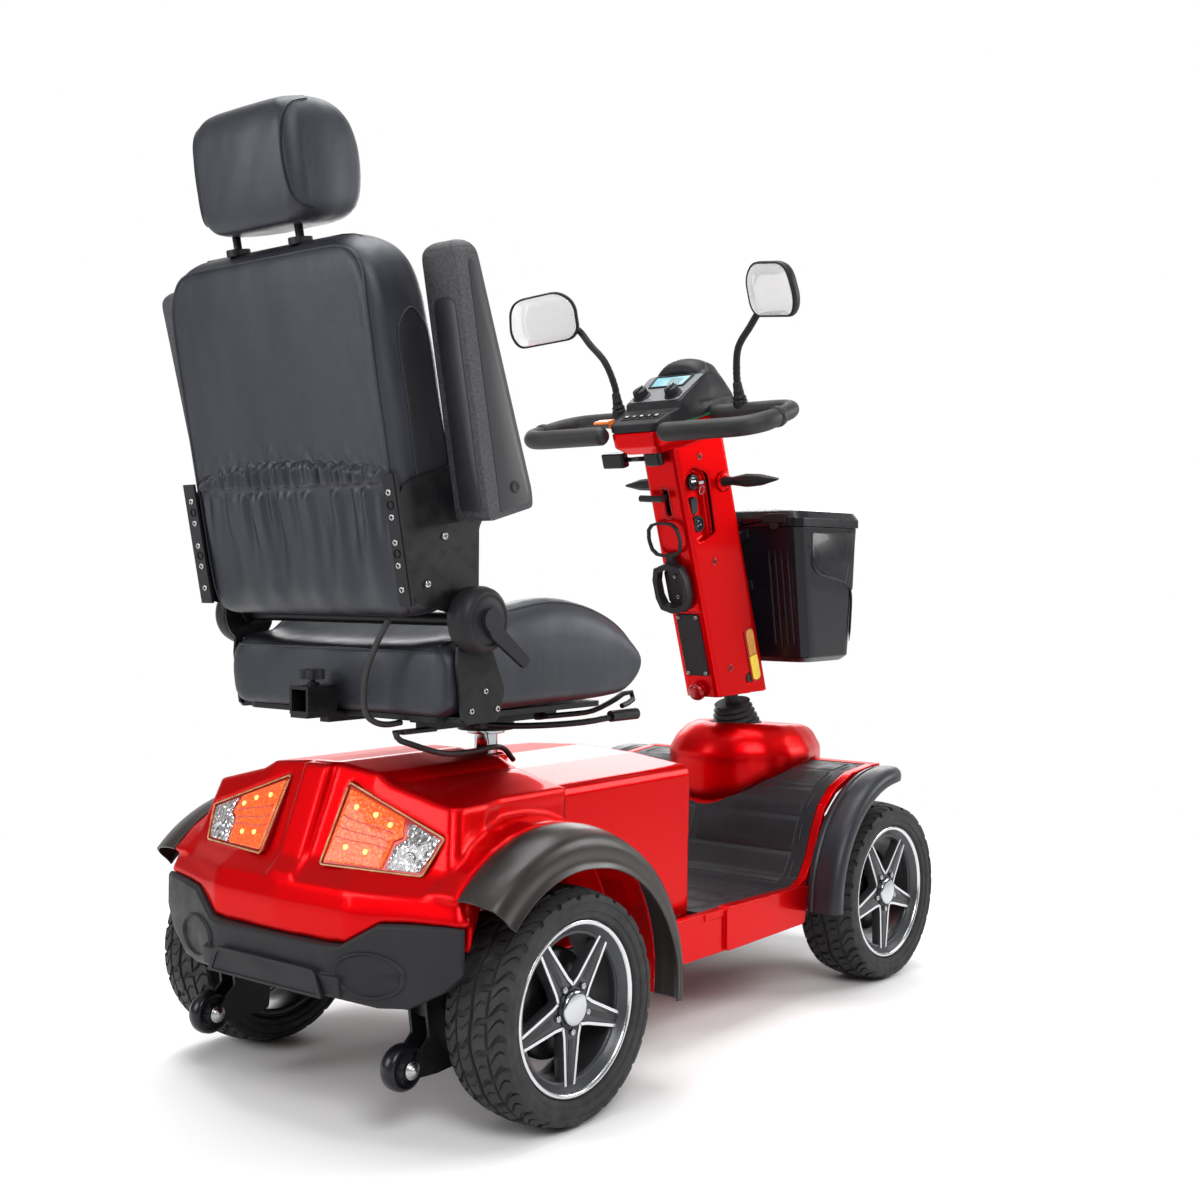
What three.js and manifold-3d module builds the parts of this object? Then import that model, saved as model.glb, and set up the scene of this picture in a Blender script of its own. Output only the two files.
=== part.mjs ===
// Four-wheel mobility scooter: captain's seat on a swivel post, raked tiller with
// a console, loop handlebars, mirrors and a front box, moulded body on a twin-rail frame.
// Millimetres, +X forward, +Y left, +Z up. The model is laid out from the rear axle
// and then moved so that its origin is under the middle of its length.
import * as THREE from 'three';
import { mergeVertices } from 'three/addons/utils/BufferGeometryUtils.js';
import Module from 'manifold-3d';

const wasm = await Module();
wasm.setup();

// ---------------------------------------------------------------- driving sizes
const GAP = 0.3;               // seat gap between touching pieces
const RUNNING_GAP = 0.5;       // radial gap of a shaft in its bearing
const SLIDE_GAP = 1;           // gap beside pieces that slide or fold
const SIDES = [{ name: 'left', sign: 1 }, { name: 'right', sign: -1 }];
const deg = (angle) => angle * Math.PI / 180;

const WHEELBASE = 970;
const REAR_TRACK = 626;
const FRONT_TRACK = 530;
const TYRE_RADIUS = 165;
const TYRE_WIDTH = 111;
const BEAD_RADIUS = 118;       // where the tyre sits on the rim
const RIM_FLANGE_RADIUS = 122;
const RIM_WIDTH = 94;
const RIM_WALL = 10;
const HUB_RADIUS = 34;
const HUB_BACK = 5;            // hub's inner face, outboard of the wheel's middle
const HUB_FRONT = 40;
const SPOKE_COUNT = 5;
const SPOKE_WIDTH = 26;
const SPOKE_GROOVE = 12;
const TYRE_STEPS = 26;
const RIM_STEPS = 26;

const AXLE_HEIGHT = TYRE_RADIUS;
const AXLE_TUBE_RADIUS = 22;
const AXLE_FLANGE_RADIUS = 32;
const GEARCASE_RADIUS = 58;
const MOTOR_RADIUS = 46;
const MOTOR_FRONT = 158;

const RAIL_WIDTH = 40;
const RAIL_HEIGHT = 40;
const RAIL_SPACING = 160;      // between the middles of the two rails
const RAIL_BOTTOM = 128;
const KICKUP_BOTTOM = 250;     // rails over the rear axle
const KICKUP_REAR = -150;
const KICKUP_FRONT = 95;
const KICKUP_FOOT = 150;
const BUMPER_BAR_RADIUS = 20;
const BUMPER_BAR_HALF = 118;
const FRONT_END = WHEELBASE + 195;
const KINGPIN_SPACING = 400;
const KINGPIN_RADIUS = 17;
const YOKE_HEIGHT = 120;
const YOKE_EAR = 13;
const YOKE_RADIUS = 25;
const STEERING_ARM = 12;       // thickness of the knuckles' arms

const BOX_FRONT_FACE = 443;
const SILL_BOTTOM = 137;
const FLOOR_TOP = 200;
const FLOOR_WALL = 5;
const FLOOR_HALF = 268;
const SILL_REAR = 300;
const SILL_FRONT = WHEELBASE - 218;
const SILL_STEP = 490;         // where the sill gets wider
const FLOOR_REAR = BOX_FRONT_FACE - 10;
const MAT_THICKNESS = 6;
const MAT_HALF = 250;
const RAMP_TOP = 392;
const RAMP_END = WHEELBASE + 15;

const BODY_HALF = 245;         // half width of the rear body above the wheels
const BODY_WALL = 5;
const SHROUD_FRONT = 114;
const DECK_HEIGHT = 492;
const SHOULDER_HEIGHT = DECK_HEIGHT - 49;
const BULGE_HALF = 318;        // half width behind the wheels
const SPINE_HALF = 27;
const BOX_FRONT = BOX_FRONT_FACE;
const BOX_BOTTOM = FLOOR_TOP + GAP;
const BOX_HALF = BODY_HALF - 19;
const BOX_CROWN = 24;
const POST_X = 199;
const POST_RADIUS = 19;
const SEAT_LIFT = DECK_HEIGHT - 492;   // the seat's heights are drawn over a deck at 492
const POST_TOP = 512;
const POST_COLLAR_RADIUS = 36;

const WHEEL_ROOM = 18;         // between a rear tyre and the body round it
const ARCH_RADIUS = 250;       // body arch over a rear wheel
const ARCH_EDGE = 306;
const ARCH_RIDGE = 270;
const ARCH_FRONT = -9;         // degrees round the wheel
const ARCH_REAR = 137;
const FENDER_OUTER = 371;
const FENDER_WALL = 5;
const FENDER_FALL = 15;        // how far the fender drops to its outer corner
const FENDER_LIP = 34;
const FRONT_FENDER_RADIUS = 230;
const FRONT_FENDER_WIDTH = 60;

const ANTI_TIP_X = -188;
const ANTI_TIP_HALF = 209;
const ANTI_TIP_RADIUS = 32.5;
const ANTI_TIP_WIDTH = 26;
const ANTI_TIP_CENTRE = 100.5;

const RAKE = deg(17.3);        // steering axis leans back
const TILT_PIVOT = { x: WHEELBASE - 75, z: 535 };
const STEERING_SHAFT_RADIUS = 14;
const SHAFT_LENGTH = 345;
const HEAD_TUBE_TOP = -235;
const HEAD_TUBE_LENGTH = 78;
const HEAD_TUBE_RADIUS = 24;
const PIVOT_PIN_RADIUS = 9;
const PIVOT_PIN_HEIGHT = 26;   // tilt pin above the tiller frame's origin
const BOOT_TOP = -28;
const BOOT_BASE = -80;
const BOOT_TOP_RADIUS = 36;
const BOOT_BASE_RADIUS = 51;
const BOOT_RIBS = 5;
const COWL_COLLAR_RADIUS = 57;
const COWL_WALL = 5;
const COWL_REAR = WHEELBASE - 170;
const COWL_SKIRT = 126;        // half width below the ramp, clear of the turning front wheels

const COVER_REAR = -91;        // tiller cover section, in the tiller's own frame
const COVER_WIDEST = 42;
const COVER_FRONT = 52;
const COVER_REAR_HALF = 38;
const COVER_WIDEST_HALF = 58;
const COVER_FRONT_HALF = 42;
const COVER_TOP = 506;
const COVER_WALL = 4;
const CONSOLE_REAR = -152;
const CONSOLE_BASE_BOTTOM = 523;
const CONSOLE_BASE_TOP = 550;
const CONSOLE_DECK = 567;
const CONSOLE_FRONT = 96;
const CONSOLE_HALF = 78;
const DECK_HALF = 54;
const PANEL = { rear: -80, low: 590, front: 12, high: 622, half: 62 };
const KNOB_PLACE = { x: -60, y: 36 };
const LOOP_REAR = -155;
const LOOP_FRONT = -5;
const LOOP_OUTER = 268;
const LOOP_INNER_END = 62;
const LOOP_HEIGHT = 549;
const GRIP_RADIUS = 17.5;
const MIRROR_BASE = { x: -5, y: 140, z: 571 };
const MIRROR_CENTRE = { x: -36, y: 258, z: 761 };
const MIRROR_DEPTH = 26;
const MIRROR_YAW = deg(23.5);
const STALK_RADIUS = 6.5;
const RECESS_DEPTH = 14;
const KEY_PLACE = { x: -46, z: 430 };
const KEY_BARREL = 9;
const THROTTLE_PLACE = -105;
const THROTTLE_PIN = 6;
const KNOB_STUB = 6;
const ROCKER_PLACE = -138;
const ROCKER_PIN = 3;
const HOOK_TOP = 290;
const HOOK_BOTTOM = 194;
const HOOK_SHIFT = 12;
const TILT_LEVER_REACH = 22;
const TILT_LEVER_HEIGHT = 415;

const FRONT_BOX = { rear: WHEELBASE - 60, front: WHEELBASE + 176, half: 150, bottom: 588, rim: 852, taper: 22 };
const FRONT_BOX_WALL = 4;
const LID_CROWN = 40;

const SEAT_HALF = 234;
const SEAT_REAR = -130;
const SEAT_FRONT = 315;
const SEAT_BOTTOM = 566;
const PAN_THICKNESS = 8;
const RAIL_GAUGE = 210;
const RECLINE_PIVOT = { x: -85, z: 700 };
const RECLINE = deg(10.6);
const SIDE_PLATE = 5;
const SIDE_PLATE_INNER = 238;
const DIAL_RADIUS = 46;
const DIAL_DEPTH = 34;
const LEVER_STUB = 7;
const LEVER_STUB_DEPTH = 16;
const BACK_SHAFT_RADIUS = 12;
const BACK_SHAFT_END = 250;
const HANDLE_PIVOT = { x: 150, z: 545.5 };
const HANDLE_PIN = 4;
const SWIVEL_PLACE = 60;
const SWIVEL_PIN = 4;
const CABLE_TAB_Y = -121;
const BACK_HALF = 224.7;
const BACK_REAR = -83;
const BACK_FRONT = 26;
const BACK_BOTTOM = 16;
const BACK_TOP = 534;
const STRIP_INNER = 203;
const HEAD_POST_SPACING = 134;
const HEAD_POST_RADIUS = 6;
const HEAD_POST_X = -55;
const HEADREST_BOTTOM = 558;
const HEADREST_TOP = 726;
const HEADREST_HALF = 118;
const HEADREST_REAR = -92;
const HEADREST_FRONT = 42;
const HEAD_POST_FOOT = BACK_TOP - 130;
const ARMREST_INNER = 231;
const ARMREST_WIDTH = 62;
const ARMREST_PIVOT = { x: 64, z: 173 };   // in the reclining frame's axes
const ARMREST_PIN = 10;
const ARMREST_STUB = 36;
const ARMREST_SET = { left: { out: 24, lean: deg(3) }, right: { out: 0, lean: 0 } };   // as adjusted
const CABLE_RADIUS = 4.5;

const REAR_END = RECLINE_PIVOT.x + HEADREST_REAR * Math.cos(RECLINE) - 640 * Math.sin(RECLINE);
const ORIGIN_X = (FRONT_END + REAR_END) / 2;

// ---------------------------------------------------------------- materials
const finish = (color, roughness, metalness = 0) =>
  new THREE.MeshStandardMaterial({ color, roughness, metalness });
const CANDY_RED = finish(0xb8060f, 0.25);
const BLACK_PLASTIC = finish(0x2a2b2e, 0.55);
const GLOSS_BLACK = finish(0x121316, 0.2);
const GREY_PLASTIC = finish(0x3b3a3a, 0.6);
const RUBBER = finish(0x232427, 0.9);
const TYRE_RUBBER = finish(0x1a1b1c, 0.85);
const ALLOY = finish(0x8d9094, 0.3, 0.9);
const BLACK_STEEL = finish(0x18191b, 0.4, 0.6);
const STEEL = finish(0xb9bcc0, 0.3, 0.9);
const LEATHER = finish(0x26262a, 0.5);
const AMBER = finish(0xf05010, 0.15);

// ---------------------------------------------------------------- geometry helpers
function toSolid(geometry) {
  const bare = geometry.clone();
  bare.deleteAttribute('normal');
  bare.deleteAttribute('uv');
  const merged = mergeVertices(bare, 1e-4);
  return new wasm.Manifold(new wasm.Mesh({
    numProp: 3,
    vertProperties: new Float32Array(merged.attributes.position.array),
    triVerts: new Uint32Array(merged.index.array),
  }));
}

function fromSolid(solid) {
  const { vertProperties, triVerts } = solid.getMesh();
  const geometry = new THREE.BufferGeometry();
  geometry.setAttribute('position', new THREE.BufferAttribute(vertProperties, 3));
  geometry.setIndex(new THREE.BufferAttribute(triVerts, 1));
  return geometry;
}

const combine = (operation) => (first, ...others) =>
  fromSolid(others.reduce((body, other) => body[operation](toSolid(other)), toSolid(first)));
const join = combine('add');
const cut = combine('subtract');
const common = combine('intersect');

// Rounded outline of a polygon: every corner becomes an arc of the given radius.
function rounded(points, radius, steps = 3) {
  const outline = [];
  points.forEach(([x, y], i) => {
    const corner = new THREE.Vector2(x, y);
    const before = new THREE.Vector2(...points.at(i - 1)).sub(corner);
    const after = new THREE.Vector2(...points[(i + 1) % points.length]).sub(corner);
    const half = Math.abs(before.angleTo(after)) / 2;
    const limit = Math.min(before.length(), after.length()) * 0.45;
    const setback = Math.min(radius / Math.tan(half), limit);
    const start = corner.clone().addScaledVector(before.normalize(), setback);
    const end = corner.clone().addScaledVector(after.normalize(), setback);
    const curve = new THREE.QuadraticBezierCurve(start, corner, end);
    curve.getPoints(steps).forEach((p) => outline.push([p.x, p.y]));
  });
  return outline;
}

const rectangle = (halfX, halfY, x = 0, y = 0) => [
  [x - halfX, y - halfY], [x + halfX, y - halfY], [x + halfX, y + halfY], [x - halfX, y + halfY],
];

function circle(radius, steps, x = 0, y = 0) {
  return Array.from({ length: steps }, (_, i) => {
    const angle = 2 * Math.PI * (i + 0.5) / steps;
    return [x + radius * Math.cos(angle), y + radius * Math.sin(angle)];
  });
}

const toShape = (outline) => new THREE.Shape(outline.map(([x, y]) => new THREE.Vector2(x, y)));

function slab(outline, depth, holes = []) {
  const shape = toShape(outline);
  holes.forEach((hole) => shape.holes.push(toShape(hole)));
  return new THREE.ExtrudeGeometry(shape, { depth, bevelEnabled: false, curveSegments: 1 });
}

// Slabs with their outline in one plane and their depth along the remaining axis.
const slabZ = (outline, z0, z1, holes) => slab(outline, z1 - z0, holes).translate(0, 0, z0);
const slabY = (outline, y0, y1, holes) =>
  slab(outline, y1 - y0, holes).rotateX(Math.PI / 2).translate(0, y1, 0);
const slabX = (outline, x0, x1, holes) =>
  slab(outline, x1 - x0, holes).applyMatrix4(new THREE.Matrix4().set(
    0, 0, 1, x0, 1, 0, 0, 0, 0, 1, 0, 0, 0, 0, 0, 1));

const box = (x0, x1, y0, y1, z0, z1) =>
  new THREE.BoxGeometry(x1 - x0, y1 - y0, z1 - z0)
    .translate((x0 + x1) / 2, (y0 + y1) / 2, (z0 + z1) / 2);

const vector = (x, y, z) => new THREE.Vector3(x, y, z);

// Round bar between two points.
function rod(radius, start, end, steps = 12) {
  const along = end.clone().sub(start);
  const turn = new THREE.Quaternion().setFromUnitVectors(vector(0, 1, 0), along.clone().normalize());
  return new THREE.CylinderGeometry(radius, radius, along.length(), steps)
    .applyQuaternion(turn)
    .translate(...start.clone().add(end).multiplyScalar(0.5).toArray());
}

// Turns every triangle over when the surface encloses its volume the wrong way round.
function outward(geometry) {
  const p = geometry.attributes.position;
  const index = [...geometry.index.array];
  const corner = (i) => new THREE.Vector3().fromBufferAttribute(p, index[i]);
  let volume = 0;
  for (let i = 0; i < index.length; i += 3) {
    volume += corner(i).dot(corner(i + 1).cross(corner(i + 2)));
  }
  if (volume < 0) {
    for (let i = 0; i < index.length; i += 3) [index[i], index[i + 2]] = [index[i + 2], index[i]];
    geometry.setIndex(index);
  }
  return geometry;
}

// Turned piece about the Y axis; the profile holds [radius, y] pairs.
function turned(profile, steps, closed = false) {
  const points = profile.map(([radius, y]) => new THREE.Vector2(radius, y));
  if (closed) points.push(points[0].clone());
  return outward(new THREE.LatheGeometry(points, steps).rotateY(Math.PI / steps));
}
const turnedZ = (profile, steps, closed) => turned(profile, steps, closed).rotateX(Math.PI / 2);

// Closed skin over rings of equally many points; capOutline is one ring's flat outline.
function loft(rings, capOutline) {
  const count = rings[0].length;
  const cap = capOutline.map(([x, y]) => new THREE.Vector2(x, y));
  const index = [];
  for (let r = 0; r < rings.length - 1; r++) {
    for (let i = 0; i < count; i++) {
      const a = r * count + i;
      const b = r * count + (i + 1) % count;
      index.push(a, b, b + count, a, b + count, a + count);
    }
  }
  const last = (rings.length - 1) * count;
  const clockwise = THREE.ShapeUtils.isClockWise(cap);
  THREE.ShapeUtils.triangulateShape(cap, []).forEach((face) => {
    const [a, b, c] = clockwise ? [face[2], face[1], face[0]] : face;
    index.push(c, b, a, last + a, last + b, last + c);
  });
  const geometry = new THREE.BufferGeometry();
  geometry.setAttribute('position',
    new THREE.Float32BufferAttribute(rings.flat().flatMap((p) => p.toArray()), 3));
  return outward(geometry.setIndex(index));
}

// Section swept along an arc in the XZ plane; the section holds [y, radial] pairs.
function arcSweep(section, centre, radius, from, to, steps) {
  const rings = Array.from({ length: steps + 1 }, (_, i) => {
    const angle = deg(from + (to - from) * i / steps);
    return section.map(([y, radial]) => vector(
      centre.x + (radius + radial) * Math.cos(angle), y,
      centre.z + (radius + radial) * Math.sin(angle)));
  });
  return loft(rings, section);
}

// Flat outlines stacked along Z, each [z, outline].
const stack = (levels) =>
  loft(levels.map(([z, outline]) => outline.map(([x, y]) => vector(x, y, z))), levels[0][1]);
// Side outlines placed along Y, each [y, outline of x and z].
const ribsAlongY = (levels) =>
  loft(levels.map(([y, outline]) => outline.map(([x, z]) => vector(x, y, z))), levels[0][1]);

function scaledOutline(outline, scaleX, scaleY = scaleX) {
  const xs = outline.map((p) => p[0]);
  const ys = outline.map((p) => p[1]);
  const midX = (Math.min(...xs) + Math.max(...xs)) / 2;
  const midY = (Math.min(...ys) + Math.max(...ys)) / 2;
  return outline.map(([x, y]) => [midX + (x - midX) * scaleX, midY + (y - midY) * scaleY]);
}

// Tube along a smooth curve through the points, with round section.
function bentBar(points, radius, sections = 8, steps = 24) {
  const path = new THREE.CatmullRomCurve3(points, false, 'centripetal');
  return new THREE.ExtrudeGeometry(toShape(circle(radius, sections)),
    { steps, bevelEnabled: false, extrudePath: path, curveSegments: 1 });
}

const flipY = (geometry, sign) => {
  if (sign > 0) return geometry;
  const flipped = geometry.index ? geometry.toNonIndexed() : geometry.clone();
  flipped.scale(1, -1, 1);
  const p = flipped.attributes.position;
  for (let i = 0; i < p.count; i += 3) {
    const a = new THREE.Vector3().fromBufferAttribute(p, i);
    const c = new THREE.Vector3().fromBufferAttribute(p, i + 2);
    p.setXYZ(i, c.x, c.y, c.z);
    p.setXYZ(i + 2, a.x, a.y, a.z);
  }
  return flipped;
};

const scooter = new THREE.Group();
scooter.position.x = -ORIGIN_X;

function add(name, geometry, material, parent = scooter) {
  const mesh = new THREE.Mesh(geometry, material);
  mesh.name = name;
  parent.add(mesh);
  return mesh;
}

function frameAt(x, y, z, turnY = 0, parent = scooter) {
  const group = new THREE.Group();
  group.position.set(x, y, z);
  group.rotation.y = turnY;
  parent.add(group);
  return group;
}

// ---------------------------------------------------------------- wheels
function tyreGeometry() {
  const half = TYRE_WIDTH / 2;
  const bead = RIM_WIDTH / 2 - 3.5;
  const flank = [
    [BEAD_RADIUS, bead], [RIM_FLANGE_RADIUS + GAP, bead], [RIM_FLANGE_RADIUS + 6, half - 4],
    [TYRE_RADIUS - 25, half],
    [TYRE_RADIUS - 9, half - 5], [TYRE_RADIUS - 1, half - 24],
  ];
  const otherFlank = flank.map(([radius, y]) => [radius, -y]).reverse();
  return turned([...flank, [TYRE_RADIUS, 0], ...otherFlank], TYRE_STEPS, true);
}

function spoke(angle) {
  const root = HUB_RADIUS - 8;
  const tip = BEAD_RADIUS - RIM_WALL / 2;
  const half = SPOKE_WIDTH / 2;
  const outline = [[root, -half - 3], [tip, -half], [tip, half], [root, half + 3]];
  const groove = rectangle((tip - root) / 2 - 8, SPOKE_GROOVE / 2, (tip + root) / 2 + 8);
  const blank = slabY(outline, HUB_FRONT - 14, HUB_FRONT + 2);
  return cut(blank, slabY(groove, HUB_FRONT - 4, HUB_FRONT + 10)).rotateY(angle);
}

// Rim with its face towards +Y.
function rimGeometry() {
  const edge = RIM_WIDTH / 2;
  const seat = BEAD_RADIUS - GAP;
  const inner = BEAD_RADIUS - RIM_WALL;
  const barrel = turned([
    [inner, -edge], [RIM_FLANGE_RADIUS, -edge], [RIM_FLANGE_RADIUS, 3.2 - edge], [seat, 3.2 - edge],
    [seat, edge - 3.2], [RIM_FLANGE_RADIUS, edge - 3.2], [RIM_FLANGE_RADIUS, edge], [inner, edge],
  ], RIM_STEPS, true);
  const hub = turned([[0, HUB_BACK], [HUB_RADIUS, HUB_BACK], [HUB_RADIUS, HUB_FRONT - 6],
    [HUB_RADIUS - 5, HUB_FRONT], [19, HUB_FRONT + 1], [17, HUB_FRONT + 7], [0, HUB_FRONT + 7]], 16);
  const spokes = Array.from({ length: SPOKE_COUNT },
    (_, i) => spoke(2 * Math.PI * i / SPOKE_COUNT + Math.PI / 2));
  return join(barrel, hub, ...spokes);
}

function addWheels() {
  const tyre = tyreGeometry();
  const rim = rimGeometry();
  const corners = [['rear', 0, REAR_TRACK / 2], ['front', WHEELBASE, FRONT_TRACK / 2]];
  for (const [axle, x, half] of corners) {
    for (const { name, sign } of SIDES) {
      for (const [piece, geometry, material] of [['tyre', tyre, TYRE_RUBBER], ['rim', rim, ALLOY]]) {
        add(`${axle}_${name}_${piece}`, flipY(geometry, sign), material)
          .position.set(x, sign * half, AXLE_HEIGHT);
      }
    }
  }
}

function addAntiTipWheels() {
  const half = ANTI_TIP_WIDTH / 2;
  const wheel = turned([[5, -half], [ANTI_TIP_RADIUS - 5, -half], [ANTI_TIP_RADIUS, 5 - half],
    [ANTI_TIP_RADIUS, half - 5], [ANTI_TIP_RADIUS - 5, half], [5, half]], 20, true);
  for (const { name, sign } of SIDES) {
    add(`anti_tip_wheel_${name}`, wheel, GLOSS_BLACK)
      .position.set(ANTI_TIP_X, sign * ANTI_TIP_HALF, ANTI_TIP_CENTRE);
  }
}

// ---------------------------------------------------------------- chassis
function railOutline() {
  const top = RAIL_BOTTOM + RAIL_HEIGHT;
  const kickTop = KICKUP_BOTTOM + RAIL_HEIGHT;
  return [
    [KICKUP_REAR, KICKUP_BOTTOM], [KICKUP_FRONT, KICKUP_BOTTOM], [KICKUP_FOOT, RAIL_BOTTOM],
    [FRONT_END - BUMPER_BAR_RADIUS, RAIL_BOTTOM], [FRONT_END - BUMPER_BAR_RADIUS, top],
    [KICKUP_FOOT + 22, top], [KICKUP_FRONT + 22, kickTop], [KICKUP_REAR, kickTop],
  ];
}

// Bracket that carries one anti-tip wheel, between two cheeks.
function antiTipBracket(sign) {
  const y = sign * ANTI_TIP_HALF;
  const cheekGap = ANTI_TIP_WIDTH / 2 + SLIDE_GAP;
  const x = ANTI_TIP_X;
  const z = ANTI_TIP_CENTRE;
  const outline = rounded([[x + 36, KICKUP_BOTTOM + 4], [x + 28, z + 80], [x + 34, z + 36], [x + 8, z + 13],
    [x - 10, z + 6], [x - 6, z - 13], [x + 48, z - 16], [x + 98, z - 12], [x + 102, z + 50],
    [x + 74, z + 90], [x + 72, KICKUP_BOTTOM + 4]], 8, 2);
  const cheeks = [1, -1].map((face) => {
    const inner = y + face * cheekGap;
    const outer = inner + face * 5;
    return slabY(outline, Math.min(inner, outer), Math.max(inner, outer));
  });
  const bridge = box(x + 40, x + 70, y - cheekGap - 4, y + cheekGap + 4, z + 60, KICKUP_BOTTOM + 2);
  const axle = rod(5 - RUNNING_GAP, vector(x, y - cheekGap - 8, z), vector(x, y + cheekGap + 8, z), 10);
  return [...cheeks, bridge, axle];
}

function yoke(sign) {
  const y = sign * KINGPIN_SPACING / 2;
  const low = AXLE_HEIGHT - YOKE_HEIGHT / 2;
  const high = AXLE_HEIGHT + YOKE_HEIGHT / 2;
  const webInner = Math.abs(y) - YOKE_RADIUS - 12;
  const webOuter = Math.abs(y) - KINGPIN_RADIUS - 3;
  const span = (a, b) => [Math.min(sign * a, sign * b), Math.max(sign * a, sign * b)];
  const web = box(WHEELBASE - YOKE_RADIUS, WHEELBASE + YOKE_RADIUS, ...span(webInner, webOuter), low, high);
  const ears = [[low, low + YOKE_EAR], [high - YOKE_EAR, high]].flatMap(([z0, z1]) => [
    slabZ(circle(YOKE_RADIUS, 14, WHEELBASE, y), z0, z1),
    box(WHEELBASE - YOKE_RADIUS, WHEELBASE + YOKE_RADIUS, ...span(webInner, Math.abs(y)), z0, z1),
  ]);
  return [web, ...ears];
}

// Notch behind the yoke's web, where the steering arm swings inward.
function steeringArmRoom(sign) {
  const floor = AXLE_HEIGHT - YOKE_HEIGHT / 2 + YOKE_EAR;
  const inner = KINGPIN_SPACING / 2 - YOKE_RADIUS - 13;
  const outer = KINGPIN_SPACING / 2 - KINGPIN_RADIUS - 2;
  const span = [sign * inner, sign * outer].sort((a, b) => a - b);
  return box(WHEELBASE - YOKE_RADIUS - 1, WHEELBASE - 3, ...span, floor, floor + STEERING_ARM + 3);
}

// Points on the steering axis, measured up from the tilt pivot.
const onSteeringAxis = (height, y = 0) => vector(
  TILT_PIVOT.x - height * Math.sin(RAKE), y, TILT_PIVOT.z + height * Math.cos(RAKE));

function chassisFrame() {
  const railMiddle = RAIL_SPACING / 2;
  const top = RAIL_BOTTOM + RAIL_HEIGHT;
  const [leftRail, rightRail] = SIDES.map(({ sign }) => slabY(railOutline(),
    sign * railMiddle - RAIL_WIDTH / 2, sign * railMiddle + RAIL_WIDTH / 2));
  const crossMembers = [POST_X - 30, BOX_FRONT_FACE - 23, WHEELBASE - 330].map((x) =>
    box(x, x + 60, -railMiddle, railMiddle, RAIL_BOTTOM + 6, top - 6));
  const rearMember = box(KICKUP_REAR, KICKUP_REAR + 38, -ANTI_TIP_HALF - 30, ANTI_TIP_HALF + 30,
    KICKUP_BOTTOM, KICKUP_BOTTOM + RAIL_HEIGHT);
  const frontBeam = box(WHEELBASE - 20, WHEELBASE + 20, -KINGPIN_SPACING / 2 + YOKE_RADIUS,
    KINGPIN_SPACING / 2 - YOKE_RADIUS, RAIL_BOTTOM + 2, top + 8);
  const bumperBar = rod(BUMPER_BAR_RADIUS,
    vector(FRONT_END - BUMPER_BAR_RADIUS, -BUMPER_BAR_HALF, RAIL_BOTTOM + RAIL_HEIGHT / 2),
    vector(FRONT_END - BUMPER_BAR_RADIUS, BUMPER_BAR_HALF, RAIL_BOTTOM + RAIL_HEIGHT / 2), 16);
  const postSocket = rod(POST_RADIUS + 9, vector(POST_X, 0, RAIL_BOTTOM + 10),
    vector(POST_X, 0, SHOULDER_HEIGHT - 20), 20);
  const postBore = rod(POST_RADIUS + RUNNING_GAP, vector(POST_X, 0, top),
    vector(POST_X, 0, SHOULDER_HEIGHT + 10), 20);
  const headBottom = HEAD_TUBE_TOP - HEAD_TUBE_LENGTH;
  const headTube = rod(HEAD_TUBE_RADIUS, onSteeringAxis(headBottom), onSteeringAxis(HEAD_TUBE_TOP), 20);
  const headBore = rod(STEERING_SHAFT_RADIUS + RUNNING_GAP, onSteeringAxis(headBottom - 60),
    onSteeringAxis(HEAD_TUBE_TOP + 20), 20);
  const headGusset = slabY([[WHEELBASE - 45, top - 8], [WHEELBASE - 10, top - 8], [WHEELBASE - 2, top + 66],
    [WHEELBASE - 22, top + 138], [WHEELBASE - 34, top + 132], [WHEELBASE - 45, top + 62]], -20, 20);
  const armRooms = SIDES.map(({ sign }) => steeringArmRoom(sign));
  const body = join(leftRail, rightRail, ...crossMembers, rearMember, frontBeam, bumperBar,
    postSocket, headTube, headGusset, ...yoke(1), ...yoke(-1),
    ...antiTipBracket(1), ...antiTipBracket(-1));
  return cut(body, postBore, headBore, ...armRooms);
}

function transaxle() {
  const end = REAR_TRACK / 2 + HUB_BACK - GAP;
  const housing = turned([[0, -end], [AXLE_FLANGE_RADIUS, -end], [AXLE_FLANGE_RADIUS, 12 - end],
    [AXLE_TUBE_RADIUS, 16 - end], [AXLE_TUBE_RADIUS, -70], [GEARCASE_RADIUS, -45],
    [GEARCASE_RADIUS, 45], [AXLE_TUBE_RADIUS, 70], [AXLE_TUBE_RADIUS, end - 16],
    [AXLE_FLANGE_RADIUS, end - 12], [AXLE_FLANGE_RADIUS, end], [0, end]], 20)
    .translate(0, 0, AXLE_HEIGHT);
  const motor = rod(MOTOR_RADIUS, vector(20, 0, AXLE_HEIGHT), vector(MOTOR_FRONT, 0, AXLE_HEIGHT), 20);
  const links = SIDES.map(({ sign }) => box(-18, 18, sign * RAIL_SPACING / 2 - 14,
    sign * RAIL_SPACING / 2 + 14, AXLE_HEIGHT, KICKUP_BOTTOM - GAP));
  return join(housing, motor, ...links);
}

function batteryPack() {
  const floor = RAIL_BOTTOM + RAIL_HEIGHT + GAP;
  const front = BOX_FRONT - BODY_WALL - 12;
  const pack = box(POST_X + 40, front, -180, 180, floor, floor + 178);
  const handles = [-95, 95].map((y) => box(POST_X + 95, front - 55, y - 14, y + 14, floor + 170, floor + 190));
  const split = box(POST_X + 30, front + 10, -2, 2, floor + 150, floor + 200);
  return cut(join(pack, ...handles), split);
}

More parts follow.
